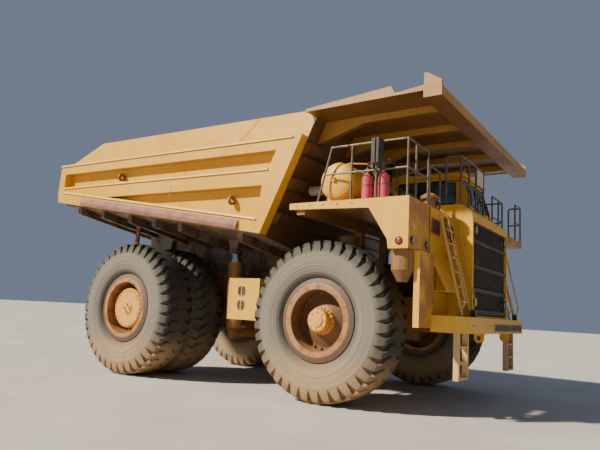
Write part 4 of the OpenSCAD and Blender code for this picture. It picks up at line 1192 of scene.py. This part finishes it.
@dataclass
class Bed(SubAssembly):
    """The tipping bed and its canopy, with the bevelled edges and welds of its plates."""

    body: str = "bed"
    half_width: float = 2.945
    sheet_depth: float = 0.205
    rail_slope: float = math.tan(math.radians(1))
    front_top_x: float = -0.43
    floor_slope: float = math.tan(math.radians(8.6))
    low_start: Span = (-1.39, 3.19)
    bevel_out: float = 0.028
    bevel_high: float = 0.075
    hooks: tuple[Span, ...] = ((-6.05, 4.783), (-2.29, 3.946))
    guard_x: Span = (-7.45, -1.99)
    canopy_top: float = 5.6
    canopy_half: float = 3.09

    def build(self) -> None:
        """Dresses the bed's nodes and adds its edges, welds and wear."""
        self.dress(
            {
                BODY_ENAMEL: "bed_sides",
                WALL_ENAMEL: "bed_front_wall",
                BED_PLATE: "bed_floor",
                CANOPY_ENAMEL: "bed_canopy",
                GUARD_STEEL: "rock_ejectors",
            }
        )
        self.bevel_ribs()
        self.weld_seams()
        self.hang_guards()
        self.add_hooks()
        self.flange_canopy()

    def line(self, height: float, x: float) -> Place:
        """A point of a line along the side that rises to the back with the top rail."""
        return ahead(x), 0.0, height + (self.front_top_x - x) * self.rail_slope

    def low_line(self, height: float, x: float) -> Place:
        """A point of a line along the side, a height over its bottom edge."""
        return ahead(x), 0.0, self.low_start[1] + (self.low_start[0] - x) * self.floor_slope + height

    def bevel_ribs(self) -> None:
        """Adds the bevelled top edges of the rails and ribs, one sloping strip along each."""
        out, high = self.bevel_out, self.bevel_high
        lip = [(out, -high * 0.55), (out, -high * 0.7)]
        strip = np.array([(-0.01, 0.0), (0.0, 0.0), *lip, (0.0, -high), (-0.01, -high)])
        lines = (
            (self.line, 5.165, -8.57, -0.68),
            (self.line, 4.535, -8.3, -1.27),
            (self.low_line, 0.32, -8.3, -1.5),
        )
        ends = [(line(height, rear), line(height, front)) for line, height, rear, front in lines]
        strips = [sweep(strip, np.array(pair) - self.half_width * Y_AXIS, Z_AXIS) for pair in ends]
        self.add("bed_bevels", strips, BODY_ENAMEL, "body_paint", pair=True)

    def weld_seams(self) -> None:
        """Adds the weld beads of the side sheets' joints: thin half-sunk cords along each seam."""
        side, sheet = -self.half_width, -self.half_width + self.sheet_depth
        seams = (
            (sheet, -2.35, 5.22, -1.75, 5.70),
            (side, -6.9, 4.46, -6.9, 4.30),
            (side, -4.1, 4.40, -4.1, 4.06),
            (sheet, -7.4, 4.61, -7.4, 4.98),
            (sheet, -3.9, 4.61, -3.9, 4.92),
        )
        beads = [tube([(x, y, z), (end_x, y, end_z)], 0.007, sides=8) for y, x, z, end_x, end_z in seams]
        self.add("bed_welds", beads, BODY_ENAMEL, "body_paint", pair=True)

    def hang_guards(self) -> None:
        """Hangs the rub rails along the bed's bottom edges: a ribbed bar, standing out from the side."""
        section = [(0.0, 0.01), (0.058, 0.01), (0.062, 0.034), (0.055, 0.038), (0.062, 0.042)]
        section += [(0.062, 0.066), (0.055, 0.07), (0.062, 0.074), (0.062, 0.112)]
        section += [(0.012, 0.209), (0.0, 0.209)]
        side = self.half_width + 0.001
        path = np.array([self.low_line(0, x) for x in self.guard_x[::-1]]) - side * Y_AXIS
        guard = sweep(np.array(section) * (-1, 1), path, Z_AXIS)
        self.add("bed_guards", [guard], GUARD_STEEL, "canopy_rust", pair=True)

    def add_hooks(self) -> None:
        """Adds the lifting eyes in the side's two recesses: a ring on a short foot."""
        parts = []
        side = -self.half_width
        for x, z in self.hooks:
            parts.append(square_collar(0.042, 0.1, -0.022, 0.022, (ahead(x), side + 0.105, z), X_AXIS))
            foot = (side + 0.18, side + self.sheet_depth + 0.005)
            parts.append(block(about(ahead(x), 0.0225), foot, about(z, 0.07)))
        self.add("bed_hooks", parts, CHASSIS_ENAMEL, pair=True)

    def flange_canopy(self) -> None:
        """Adds the upright corner flanges on the canopy's front corners and side edges."""
        top, half = self.canopy_top, self.canopy_half
        outline = [(2.12, top - 0.02), (2.44, top - 0.02), (2.44, top + 0.09), (2.17, top + 0.27)]
        side = plate([*outline, (2.12, top + 0.27)], -half - 0.003, -half + 0.022)
        outline = [(2.13, top - 0.01), (2.155, top - 0.01), (2.155, top + 0.27), (2.13, top + 0.27)]
        across = plate(outline, -half, -half + 0.3)
        falling = (across.points[:, 1] > -half + 0.1) & (across.points[:, 2] > top + 0.1)
        across.points[falling, 2] = top + 0.01
        self.add("canopy_flanges", [side, across], CANOPY_ENAMEL, pair=True)


# Front end


@dataclass
class FrontEnd(SubAssembly):
    """Bumper, radiator housing, decks, ladders and what stands on them."""

    deck_z: float = 3.72
    deck_half: float = 3.1
    deck_reach: float = 1.91
    grille_x: float = 2.36
    grille_half: float = 1.19
    grille_pitch: float = 0.045
    sill_z: float = 1.785
    brow_z: float = 3.57
    lamp_y: float = 1.04
    bumper_reach: float = 2.6
    ladder_y: Span = (1.40, 1.88)
    extinguisher_x: Span = (1.0, 1.33)
    tank_middle: Place = (0.33, -2.95, 4.15)
    mirror_at: Place = (1.34, 3.215, 4.5175)

    def build(self) -> None:
        """Dresses the front end's nodes and adds its trim."""
        self.dress(
            {
                BODY_ENAMEL: "bumper hood",
                DECK_ENAMEL: "deck",
                STEP_ENAMEL: "ladders",
                GRILLE_ENAMEL: "grille",
                LAMP_GLASS: "lamps",
                RAIL_TUBE: "handrails",
                TRIM_POLYMER: "mirrors",
            }
        )
        self.screen_grille()
        self.panel_ladders()
        self.add_markers()
        self.slot_bumper()
        self.open_tanks()
        self.rail_landing()
        self.rim_lamps()
        self.bolt_plates()
        self.grate_steps()
        self.hang_cables()
        self.plumb_extinguishers()
        self.band_air_tank()
        self.face_board()
        self.silver_mirrors()

    def screen_grille(self) -> None:
        """Lays a wire screen over the grille's panels: upright and level flats at an even pitch."""
        x = (ahead(self.grille_x) - 0.004, ahead(self.grille_x) + 0.010)
        half, low, high = self.grille_half, self.sill_z, self.brow_z
        upright = block(x, about(0, 0.004), (low + 0.01, high - 0.01))
        bar = block((x[0], x[1] + 0.003), (-half + 0.01, half - 0.01), about(0, 0.004))
        uprights = upright.copies(np.arange(-half + 0.03, half, self.grille_pitch)[:, None] * Y_AXIS)
        levels = bar.copies(np.arange(low + 0.03, high, self.grille_pitch)[:, None] * Z_AXIS)
        self.add("grille_screen", [uprights, levels], GRILLE_ENAMEL, "grille_black")

    def panel_ladders(self) -> None:
        """Closes the space behind each ladder with a bent panel and its meshed hatch."""
        face, front, knee, shelf_x, shelf = 1.892, 1.91, 2.84, 2.25, 2.18
        top, lip, toe = self.deck_z - 0.02, shelf - 0.02, 1.75
        outline = [(face, top), (front, top), (front, knee), (shelf_x, shelf), (shelf_x, lip), (1.95, lip)]
        outline += [(1.95, toe), (1.93, toe), (1.93, shelf), (shelf_x - 0.03, shelf), (face, knee - 0.008)]
        rib = [(1.95, knee - 0.10), (2.005, knee - 0.115), (2.005, knee - 0.135), (1.95, knee - 0.12)]
        panels = [plate(outline, -2.095, -1.262), plate(rib, -2.09, -1.5)]
        self.add("ladder_panels", panels, BODY_ENAMEL, "body_paint", pair=True)
        x = ahead(front)
        mesh = block((x, x + 0.006), (-2.06, -1.66), (3.24, 3.49))
        self.add("hatch_meshes", [mesh], GRILLE_ENAMEL, pair=True)
        frame = upright_frame(x + 0.008, (-2.07, -1.65), (3.23, 3.50), 0.02, 0.012)
        self.add("hatch_frames", [frame], RED_ENAMEL, "red_paint", pair=True)

    def marker_spot(self, sign: int) -> Place:
        """Where the red marker lamp stands on a fender's side."""
        return ahead(self.deck_reach - 0.17), sign * self.deck_half, self.deck_z - 0.77

    def add_markers(self) -> None:
        """Adds the red marker lamps at the fenders' corners and the box lamps on the bumper."""
        lens = [(0.052, 0.0), (0.05, 0.012), (0.03, 0.022)]
        lenses = [turned(lens, self.marker_spot(sign), sign * Y_AXIS, 32) for sign in (-1, 1)]
        self.add("marker_lamps", lenses, RED_GLASS)
        x = (ahead(2.485), ahead(2.57))
        boxes = [block(x, sorted((sign * 1.45, sign * 1.56)), (1.747, 1.87)) for sign in (-1, 1)]
        self.add("bumper_lamp_boxes", boxes, GRILLE_ENAMEL)

    def slot_bumper(self) -> None:
        """Marks the bumper's slot with painted shade: a black plate standing for the shaded recess, in a
        low welded frame.
        """
        x, y = ahead(self.bumper_reach), (-0.4, 1.8)
        # Painted shade: a black plate in place of the slot's shaded recess.
        self.add("bumper_slot", [block((x, x + 0.004), y, (1.51, 1.63))], GRILLE_ENAMEL)
        self.add("bumper_slot_frame", [upright_frame(x, y, (1.505, 1.635), 0.03, 0.011)], DECK_ENAMEL)

    def open_tanks(self) -> None:
        """Marks the two arched openings in each side tank with painted shade: dark plates standing for the
        shaded openings, in a rounded lip.
        """
        plates, lips = [], []
        outline = rounded_rectangle(0.22, 0.225, 0.08, 6)
        for z in (1.74, 2.053):
            middle = np.array([ahead(-2.525), -2.0, z])
            spine = np.array([middle + 0.003 * Y_AXIS, middle - 0.004 * Y_AXIS])
            plates.append(sweep(outline, spine, Z_AXIS))
            edge = np.column_stack([outline[:, 0], 0 * outline[:, 0], outline[:, 1]]) + middle
            lips.append(sweep(ring(0.009), edge, Y_AXIS, closed=True))
            lips.append(block(about(middle[0], 0.012), (-2.012, -1.998), about(z, 0.11)))
        # Painted shade: dark plates in place of the openings' shaded insides.
        self.add("tank_openings", plates, GRILLE_ENAMEL, pair=True)
        self.add("tank_opening_lips", lips, BODY_ENAMEL, "body_paint", pair=True)

    def rail_landing(self) -> None:
        """Rails the landing ahead of the left deck."""
        y, x, top, inner, back = 3.17, 2.27, 4.61, 2.64, 1.98
        mid, deck = 4.17, self.deck_z - 0.005
        tubes = [
            tube([(back, y, deck), (back, y, top), (x, y, top), (x, inner, top), (x, inner, deck)], 0.021),
            tube([(x, y, deck), (x, y, top)], 0.02),
            tube([(back, y, mid), (x, y, mid), (x, inner, mid)], 0.018),
        ]
        self.add("landing_rails", tubes, RAIL_TUBE)

    def rim_lamps(self) -> None:
        """Rims the head lamps and the round marker lamps with pressed bezels."""
        large = [(0.082, 0.0), (0.098, 0.0), (0.098, 0.034), (0.090, 0.040), (0.082, 0.034)]
        small = [(0.052, 0.0), (0.072, 0.0), (0.066, 0.016), (0.052, 0.024)]
        x, heights = ahead(self.grille_x) + 0.04, (self.brow_z - 0.15, self.sill_z + 0.25)
        bezels = [collar(large, (x, sign * self.lamp_y, z), X_AXIS) for sign in (-1, 1) for z in heights]
        for sign in (-1, 1):
            bezels.append(collar(small, self.marker_spot(sign), sign * Y_AXIS))
            for inset in (0.15, 0.80):
                spot = (ahead(self.deck_reach), sign * (self.deck_half - inset), self.deck_z - 0.75)
                bezels.append(collar(small, spot, X_AXIS))
        self.add("lamp_bezels", bezels, GRILLE_ENAMEL)

    def bolt_plates(self) -> None:
        """Bolts the deck's edges, the bumper, the posts and the radiator housing."""
        reach, rim_z = self.deck_reach, self.deck_z - 0.06
        rows = (
            ([(x, -self.deck_half, rim_z) for x in np.arange(-0.4, 1.1, 0.3)], -Y_AXIS),
            ([(reach, y, self.deck_z - 0.07) for y in (-2.95, -2.6, -2.3)], X_AXIS),
            ([(reach, -2.82, z) for z in (3.15, 3.35, 3.55)], X_AXIS),
            ([(self.bumper_reach, y, 1.60) for y in (-1.8, -1.65, -0.75, -0.6)], X_AXIS),
            ([(reach + 0.09, -2.16, z) for z in (1.95, 2.3, 2.65)], X_AXIS),
            ([(x, -1.25, z) for x in (1.98, 2.28) for z in (2.1, 2.6, 3.1)], -Y_AXIS),
        )
        axle = FRONT_AXLE_X * X_AXIS
        heads = [bolt_heads(np.array(spots) + axle, axis, 0.017, 0.012) for spots, axis in rows]
        self.add("front_bolts", heads, DECK_ENAMEL, pair=True)

    def grate_steps(self) -> None:
        """Adds the ladders' outer handrails and the side plates of the hanging steps."""
        inner, outer = self.ladder_y
        path = ((2.03, 3.68), (2.17, 3.54), (2.51, 2.0), (2.45, 1.87))
        rails = [tube([(x, -y, z) for x, z in path], 0.014) for y in (inner - 0.06, outer + 0.06)]
        rails += [block(about(ahead(2.35), 0.05), about(-y, 0.04), (0.63, 1.45)) for y in (inner, outer)]
        self.add("ladder_rails", rails, STEP_ENAMEL, pair=True)

    def hang_cables(self) -> None:
        """Hangs the coiled cable and the shut-down hose at the head of the right ladder."""
        head = np.array([2.02, -1.72, 3.55])
        routes = (
            ((0, 0, 0), (0.1, 0.1, -0.1), (0.12, 0.05, -0.42), (0.1, -0.12, -0.3), (0.05, -0.1, -0.02)),
            ((0, 0.2, 0.02), (0.08, 0.32, -0.2), (0.1, 0.24, -0.55), (0.07, 0.1, -0.25)),
        )
        cables = [tube(head + np.array(route), 0.011, 0.14, 8) for route in routes]
        self.add("ladder_cables", cables, HOSE_RUBBER)

    def plumb_extinguishers(self) -> None:
        """Adds the extinguishers' valves, clamps, hoses and the small charge bottles beside them."""
        y, z = -self.deck_half + 0.2, self.deck_z
        route = ((0, 0, 0.6), (0, 0, 0.7), (0.14, 0.02, 0.74), (0.24, 0.05, 0.5), (0.2, 0.08, 0.05))
        metal, hoses = [], []
        for at in self.extinguisher_x:
            x = ahead(at)
            metal.append(turned([(0.104, 0.0), (0.104, 0.03)], (x, y, z + 0.26), Z_AXIS))
            metal.append(block(about(x, 0.03), (y + 0.09, y + 0.16), (z + 0.25, z + 0.30)))
            metal.append(turned([(0.036, 0), (0.036, 0.04), (0.02, 0.06)], (x, y, z + 0.55), Z_AXIS, 16))
            hoses.append(tube(np.array((at, y, z)) + np.array(route), 0.014, 0.12, 8))
        bottle = [(0.034, 0.0), (0.034, 0.36), (0.012, 0.40), (0.012, 0.44)]
        first = ahead(self.extinguisher_x[0])
        bottles = [turned(bottle, (first + shift, y + 0.02, z), Z_AXIS, 20) for shift in (0.17, 0.25)]
        self.add("extinguisher_fittings", metal, RAIL_TUBE)
        self.add("extinguisher_hoses", hoses, HOSE_RUBBER)
        self.add("charge_bottles", bottles, RED_ENAMEL, "red_paint")

    def band_air_tank(self) -> None:
        """Adds the air tank's drain, its pipe and its two straps."""
        at = np.array(self.tank_middle)
        middle = at + FRONT_AXLE_X * X_AXIS
        route = ((-0.1, 0.6, 0.34), (-0.1, 0.6, 0.48), (0.35, 0.75, 0.46), (0.5, 1.1, -0.1))
        drain = [(0.05, 0.0), (0.05, 0.02), (0.028, 0.03), (0.028, 0.05)]
        parts = [tube(at + np.array(route), 0.016, 0.1)]
        parts.append(turned(drain, middle - 0.002 * Y_AXIS, -Y_AXIS, 16))
        parts += [square_collar(0.364, 0.375, y, y + 0.06, middle, Y_AXIS) for y in (0.23, 0.71)]
        self.add("air_tank_fittings", parts, BODY_ENAMEL, "body_paint")

    def face_board(self) -> None:
        """Faces the guard's board with a blank white plate in a dark frame."""
        x, y, z = ahead(2.155), (-0.17, 0.30), (4.52, 4.87)
        self.add("board_face", [block((x, x + 0.004), y, z)], BOARD_ENAMEL)
        self.add("board_frame", [upright_frame(x + 0.004, y, z, 0.01, 0.008)], GRILLE_ENAMEL)

    def silver_mirrors(self) -> None:
        """Sets the silvered glass into the mirrors' rear faces, with a bright rim round each head."""
        at, across, z = self.mirror_at
        x = ahead(at)
        outline, edge = rounded_rectangle(0.17, 0.36, 0.045), rounded_rectangle(0.235, 0.47, 0.05, 6)
        glass, rims = [], []
        for y in (-across, across):
            glass.append(sweep(outline, np.array([(x - 0.07, y, z), (x - 0.074, y, z)]), Z_AXIS))
            path = np.column_stack([np.full(len(edge), x), y + edge[:, 0], z + edge[:, 1]])
            rims.append(sweep(ring(0.012), path, X_AXIS, closed=True))
        self.add("mirror_glasses", glass, MIRROR_GLASS)
        self.add("mirror_rims", rims, RAIL_TUBE)


# Cab


@dataclass
class Cab(SubAssembly):
    """The cab with its door, glass, gaskets, wipers, dash, wheel and padded seat."""

    reach: float = 1.88
    right_y: float = 0.35
    left_y: float = 1.95
    seat_y: float = 1.15
    seat_x: float = 0.45
    floor_z: float = 3.76
    belt_z: float = 4.20
    head_z: float = 4.79
    windows: tuple[Span, ...] = ((0.15, 0.85), (0.94, 1.52))
    wheel_radius: float = 0.22
    wheel_lean: float = math.radians(36)
    swell: float = 0.00875

    def build(self) -> None:
        """Dresses the cab's nodes and adds its trim and seat."""
        self.dress({BODY_ENAMEL: "cab_shell cab_door", CAB_GLASS: "cab_glass door_glass"})
        self.gasket_windows()
        self.add_wipers()
        self.add_handles()
        self.fit_dash()
        self.add_seat()

    def screen_x(self, z: float) -> float:
        """How far ahead of the front axle the windscreen's outer face lies at a height."""
        return self.reach - 0.23 * (z - self.belt_z + 0.06) / 0.74

    def gasket_windows(self) -> None:
        """Rims every pane with a rubber gasket."""
        low, high, y = self.belt_z + 0.06, self.head_z, self.right_y
        paths = [[(a, y, low), (b, y, low), (b, y, high), (a, y, high)] for a, b in self.windows]
        right, left = y + 0.09, self.left_y - 0.09
        foot, head = (self.screen_x(z) for z in (self.belt_z, high))
        screen_foot = [(foot, right, self.belt_z), (foot, left, self.belt_z)]
        paths.append([*screen_foot, (head, left, high), (head, right, high)])
        loops = [loop(np.array(path) + FRONT_AXLE_X * X_AXIS, 0.05) for path in paths]
        gaskets = [sweep(ring(0.016), path, (1, 2, 0.1), closed=True) for path in loops]
        self.add("window_gaskets", gaskets, HOSE_RUBBER)

    def add_wipers(self) -> None:
        """Adds two wiper arms with blades and the tube frame of the screen's step guard."""
        parts = []
        foot, tip = self.screen_x(4.2) + 0.02, self.screen_x(4.66) + 0.025
        low, high = self.screen_x(4.42) + 0.012, self.screen_x(4.76) + 0.012
        for y in (0.75, 1.45):
            arm = [(foot, y, 4.14), (foot + 0.03, y + 0.03, 4.2), (tip, y + 0.22, 4.66)]
            parts.append(tube(arm, 0.009, 0.03, 8))
            parts.append(tube([(low, y + 0.12, 4.42), (high, y + 0.28, 4.76)], 0.01, sides=8))
        self.add("wipers", parts, HOSE_RUBBER)
        right, left = 0.42, 0.78
        guard = [tube([(2.02, y, 3.9), (2.0, y, 4.5)], 0.014) for y in (right, left)]
        rungs = ((2.015, 4.05), (2.01, 4.27), (2.0, 4.49))
        guard += [tube([(x, right, z), (x, left, z)], 0.012) for x, z in rungs]
        guard.append(tube([(2.0, left, 4.49), (2.13, 0.95, 3.9)], 0.014))
        self.add("screen_step_guard", guard, GRILLE_ENAMEL)

    def add_handles(self) -> None:
        """Adds the door's handle, the grab rail beside it and the roof's lamps."""
        y = self.left_y
        grip = y + 0.045
        handle = tube([(1.02, y, 4.05), (1.02, grip, 4.05), (0.9, grip, 4.05), (0.9, y, 4.05)], 0.011, 0.03)
        self.add("door_handle", [handle], TRIM_POLYMER, body="cab_door")
        rail = tube([(1.24, y, 3.95), (1.24, y + 0.07, 3.95), (1.24, y + 0.07, 4.6), (1.24, y, 4.6)], 0.014)
        self.add("grab_rail", [rail], RAIL_TUBE)
        shells, lenses = [], []
        for side_y in (0.55, 1.75):
            spot = np.array([ahead(1.66), side_y, 5.045])
            shells.append(turned([(0.03, -0.11), (0.07, -0.06), (0.075, 0.0)], spot, X_AXIS, 24))
            shells.append(block((spot[0] - 0.04, spot[0] - 0.02), about(side_y, 0.012), (4.965, 5.0)))
            lenses.append(turned([(0.068, 0.001), (0.066, 0.008), (0.04, 0.014)], spot, X_AXIS, 24))
        self.add("roof_lamp_shells", shells, GRILLE_ENAMEL)
        self.add("roof_lamp_lenses", lenses, LAMP_GLASS, "lamp_lens")

    def fit_dash(self) -> None:
        """Builds the dash, column, steering wheel and seat stand in place of the plain interior."""
        z, y, front = self.floor_z, self.seat_y, ahead(self.reach)
        hood = np.array([(0.0, 0.0), (0.33, 0.0), (0.36, 0.03), (0.36, 0.19), (0.30, 0.24), (0.0, 0.24)])
        ends = [(front - 0.052, side, 3.965) for side in (self.right_y + 0.052, self.left_y - 0.052)]
        wheel = np.array([front - 0.57, y, z + 0.634])
        sine, cosine = math.sin(self.wheel_lean), math.cos(self.wheel_lean)
        normal, level = np.array([-sine, 0.0, cosine]), np.array([cosine, 0.0, sine])
        angle = np.linspace(0, 2 * np.pi, 48, endpoint=False)[:, None]
        hub = [(0.03, -0.04), (0.06, -0.01), (0.05, 0.02), (0.02, 0.03)]
        at = wheel - FRONT_AXLE_X * X_AXIS
        ways = [math.cos(turn) * level + math.sin(turn) * Y_AXIS for turn in (0.5, 2.64, 4.71)]
        spokes = [at + 0.215 * way for way in ways]
        x = ahead(self.seat_x)
        parts = [
            sweep(hood * (-1, 1), np.array(ends), Z_AXIS),
            sweep(
                ring(0.016, 12),
                wheel + self.wheel_radius * (np.cos(angle) * level + np.sin(angle) * Y_AXIS),
                normal,
                closed=True,
            ),
            turned(hub, wheel, normal, 24),
            tube([(self.reach - 0.38, y, z + 0.36), at], 0.03, sides=14),
            *(tube([at, tip], 0.012, sides=8) for tip in spokes),
            block((x + 0.08, x + 0.42), about(y, 0.18), (z, z + 0.22)),
            block((x - 0.02, x + 0.48), about(y, 0.235), (z + 0.22, z + 0.30)),
            block((x - 0.118, x - 0.085), about(y, 0.2), (z + 0.26, z + 0.96)),
        ]
        made = self.add("cab_controls", parts, TRIM_POLYMER, "cab_trim")
        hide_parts("cab_interior")

    def pad(self, low: Array, high: Array, flat_axis: int) -> Surface:
        """A cushion's first shape inside a box: a ball drawn out to a soft box, thicker in the middle.

        With s(t, p) = sign(t) |t| ** p of cosines and sines, x = s(cos a cos b, 0.35), and so on for y
        and z; the flat axis is then scaled by 0.72 + 0.28 (1 - x squared)(1 - y squared) of the others.

        Args:
            low: The box's low corner.
            high: The box's high corner.
            flat_axis: The axis that the cushion is thin along.

        Returns:
            The closed pad.
        """
        rows, columns = 31, 64
        b = np.linspace(-np.pi / 2, np.pi / 2, rows + 2)[1:-1, None]
        a = np.linspace(0, 2 * np.pi, columns, endpoint=False)[None]
        ball = np.stack([np.cos(b) * np.cos(a), np.cos(b) * np.sin(a), np.sin(b) + 0 * a], -1)
        soft = np.sign(ball) * np.abs(ball) ** 0.35
        soft /= np.maximum(np.abs(soft).max((0, 1)), Z_AXIS)
        one, other = (axis for axis in range(3) if axis != flat_axis)
        soft[..., flat_axis] *= 0.72 + 0.28 * (1 - soft[..., one] ** 2) * (1 - soft[..., other] ** 2)
        points = (low + high) / 2 + soft * (high - low) / 2
        return Surface.grid(points, wrap_columns=True).capped(rows, columns).outward()

    def add_seat(self) -> None:
        """Adds the seat's cushion and back, each inflated, with a piped seam round it."""
        x, y, z = ahead(self.seat_x), self.seat_y, self.floor_z
        boxes = {
            "seat_cushion": ((x + 0.012, y - 0.238, z + 0.308), (x + 0.488, y + 0.238, z + 0.412), 2),
            "seat_back": ((x - 0.08, y - 0.218, z + 0.43), (x - 0.008, y + 0.218, z + 0.985), 0),
        }
        signs = np.array([(-1, -1), (1, -1), (1, 1), (-1, 1)])
        for name, (*corners, flat_axis) in boxes.items():
            low, high = np.array(corners)
            cushion = self.add(name, [self.pad(low, high, flat_axis)], SEAT_CLOTH, crease=180)
            inflate(cushion, self.swell)
            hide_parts("cab_interior")
            seam = np.tile((low + high) / 2, (4, 1))
            others = [axis for axis in range(3) if axis != flat_axis]
            seam[:, others] += signs * (high - low)[others] * 0.485
            piping = sweep(ring(0.005), loop(seam, 0.09), np.eye(3)[flat_axis], closed=True)
            self.add(f"{name}_piping", [piping], HOSE_RUBBER)


# Stage


@dataclass
class Studio:
    """Plain pale floor and soft light."""

    floor_half: float = 160.0
    key_watts: float = 7.6
    key_softness: float = 3.0
    key_from: Place = (-0.50, -0.61, 0.61)
    key_colour: str = "#FFF1DC"
    sky: str = "#B9CAE8"
    sky_strength: float = 0.34

    def build(self) -> None:
        """Builds the floor, the key light and the even sky."""
        self.lay_floor()
        self.light()

    def lay_floor(self) -> None:
        """Lays the floor: a flat square about the part's origin."""
        half = self.floor_half
        mesh = bpy.data.meshes.new("studio_floor")
        corners = [(-half, -half, 0), (half, -half, 0), (half, half, 0), (-half, half, 0)]
        mesh.from_pydata(corners, [], [[0, 1, 2, 3]])
        mesh.materials.append(FLOOR_CONCRETE.build())
        floor = bpy.data.objects.new("studio_floor", mesh)
        bpy.context.scene.collection.objects.link(floor)

    def light(self) -> None:
        """Adds the sun-like key light and the sky's even light."""
        lamp = bpy.data.lights.new("key_light", "SUN")
        lamp.energy = self.key_watts
        lamp.angle = math.radians(self.key_softness)
        lamp.color = linear(self.key_colour)[:3]
        key = bpy.data.objects.new("key_light", lamp)
        key.rotation_mode = "QUATERNION"
        key.rotation_quaternion = Vector(self.key_from).to_track_quat("Z", "Y")
        bpy.context.scene.collection.objects.link(key)
        world = bpy.data.worlds.new("studio_sky")
        world.use_nodes = True
        background = world.node_tree.nodes["Background"]
        background.inputs[0].default_value = linear(self.sky)
        background.inputs[1].default_value = self.sky_strength
        bpy.context.scene.world = world


@dataclass
class ViewPoint:
    """The camera, at the photograph's own viewing angle, in degrees and in the photo's pixels."""

    place: Place = (8.664, -11.794, 1.684)
    azimuth: float = 34.435
    pitch: float = 8.677
    roll: float = 3.267
    focal_pixels: float = 562.07
    frame_pixels: float = 600.0

    def build(self) -> bpy.types.Object:
        """Makes the camera and sets it as the scene's.

        Forward is (-sin a cos e, cos a cos e, sin e) for azimuth a and pitch e, and the right and
        up directions are then turned about it by the roll.

        Returns:
            The camera.
        """
        a, e, r = (math.radians(v) for v in (self.azimuth, self.pitch, self.roll))
        forward = Vector((-math.sin(a) * math.cos(e), math.cos(a) * math.cos(e), math.sin(e)))
        level = Vector((math.cos(a), math.sin(a), 0))
        over = level.cross(forward)
        right = level * math.cos(r) + over * math.sin(r)
        up = over * math.cos(r) - level * math.sin(r)
        lens = bpy.data.cameras.new("camera")
        lens.sensor_width = 36
        lens.lens = self.focal_pixels / self.frame_pixels * lens.sensor_width
        lens.clip_end = 500
        camera = bpy.data.objects.new("camera", lens)
        turn = Matrix((right, up, -forward)).transposed().to_4x4()
        camera.matrix_world = Matrix.Translation(self.place) @ turn
        bpy.context.scene.collection.objects.link(camera)
        bpy.context.scene.camera = camera
        return camera


def main() -> None:
    """Builds the scene in order."""
    logging.basicConfig(level=logging.INFO, format="%(message)s")
    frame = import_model()
    ViewPoint().build()
    Studio().build()
    for made in (Tyres, Rims, Chassis, Bed, FrontEnd, Cab):
        made(frame).build()
        log.info("built %s", made.__name__)


if __name__ == "__main__":
    main()
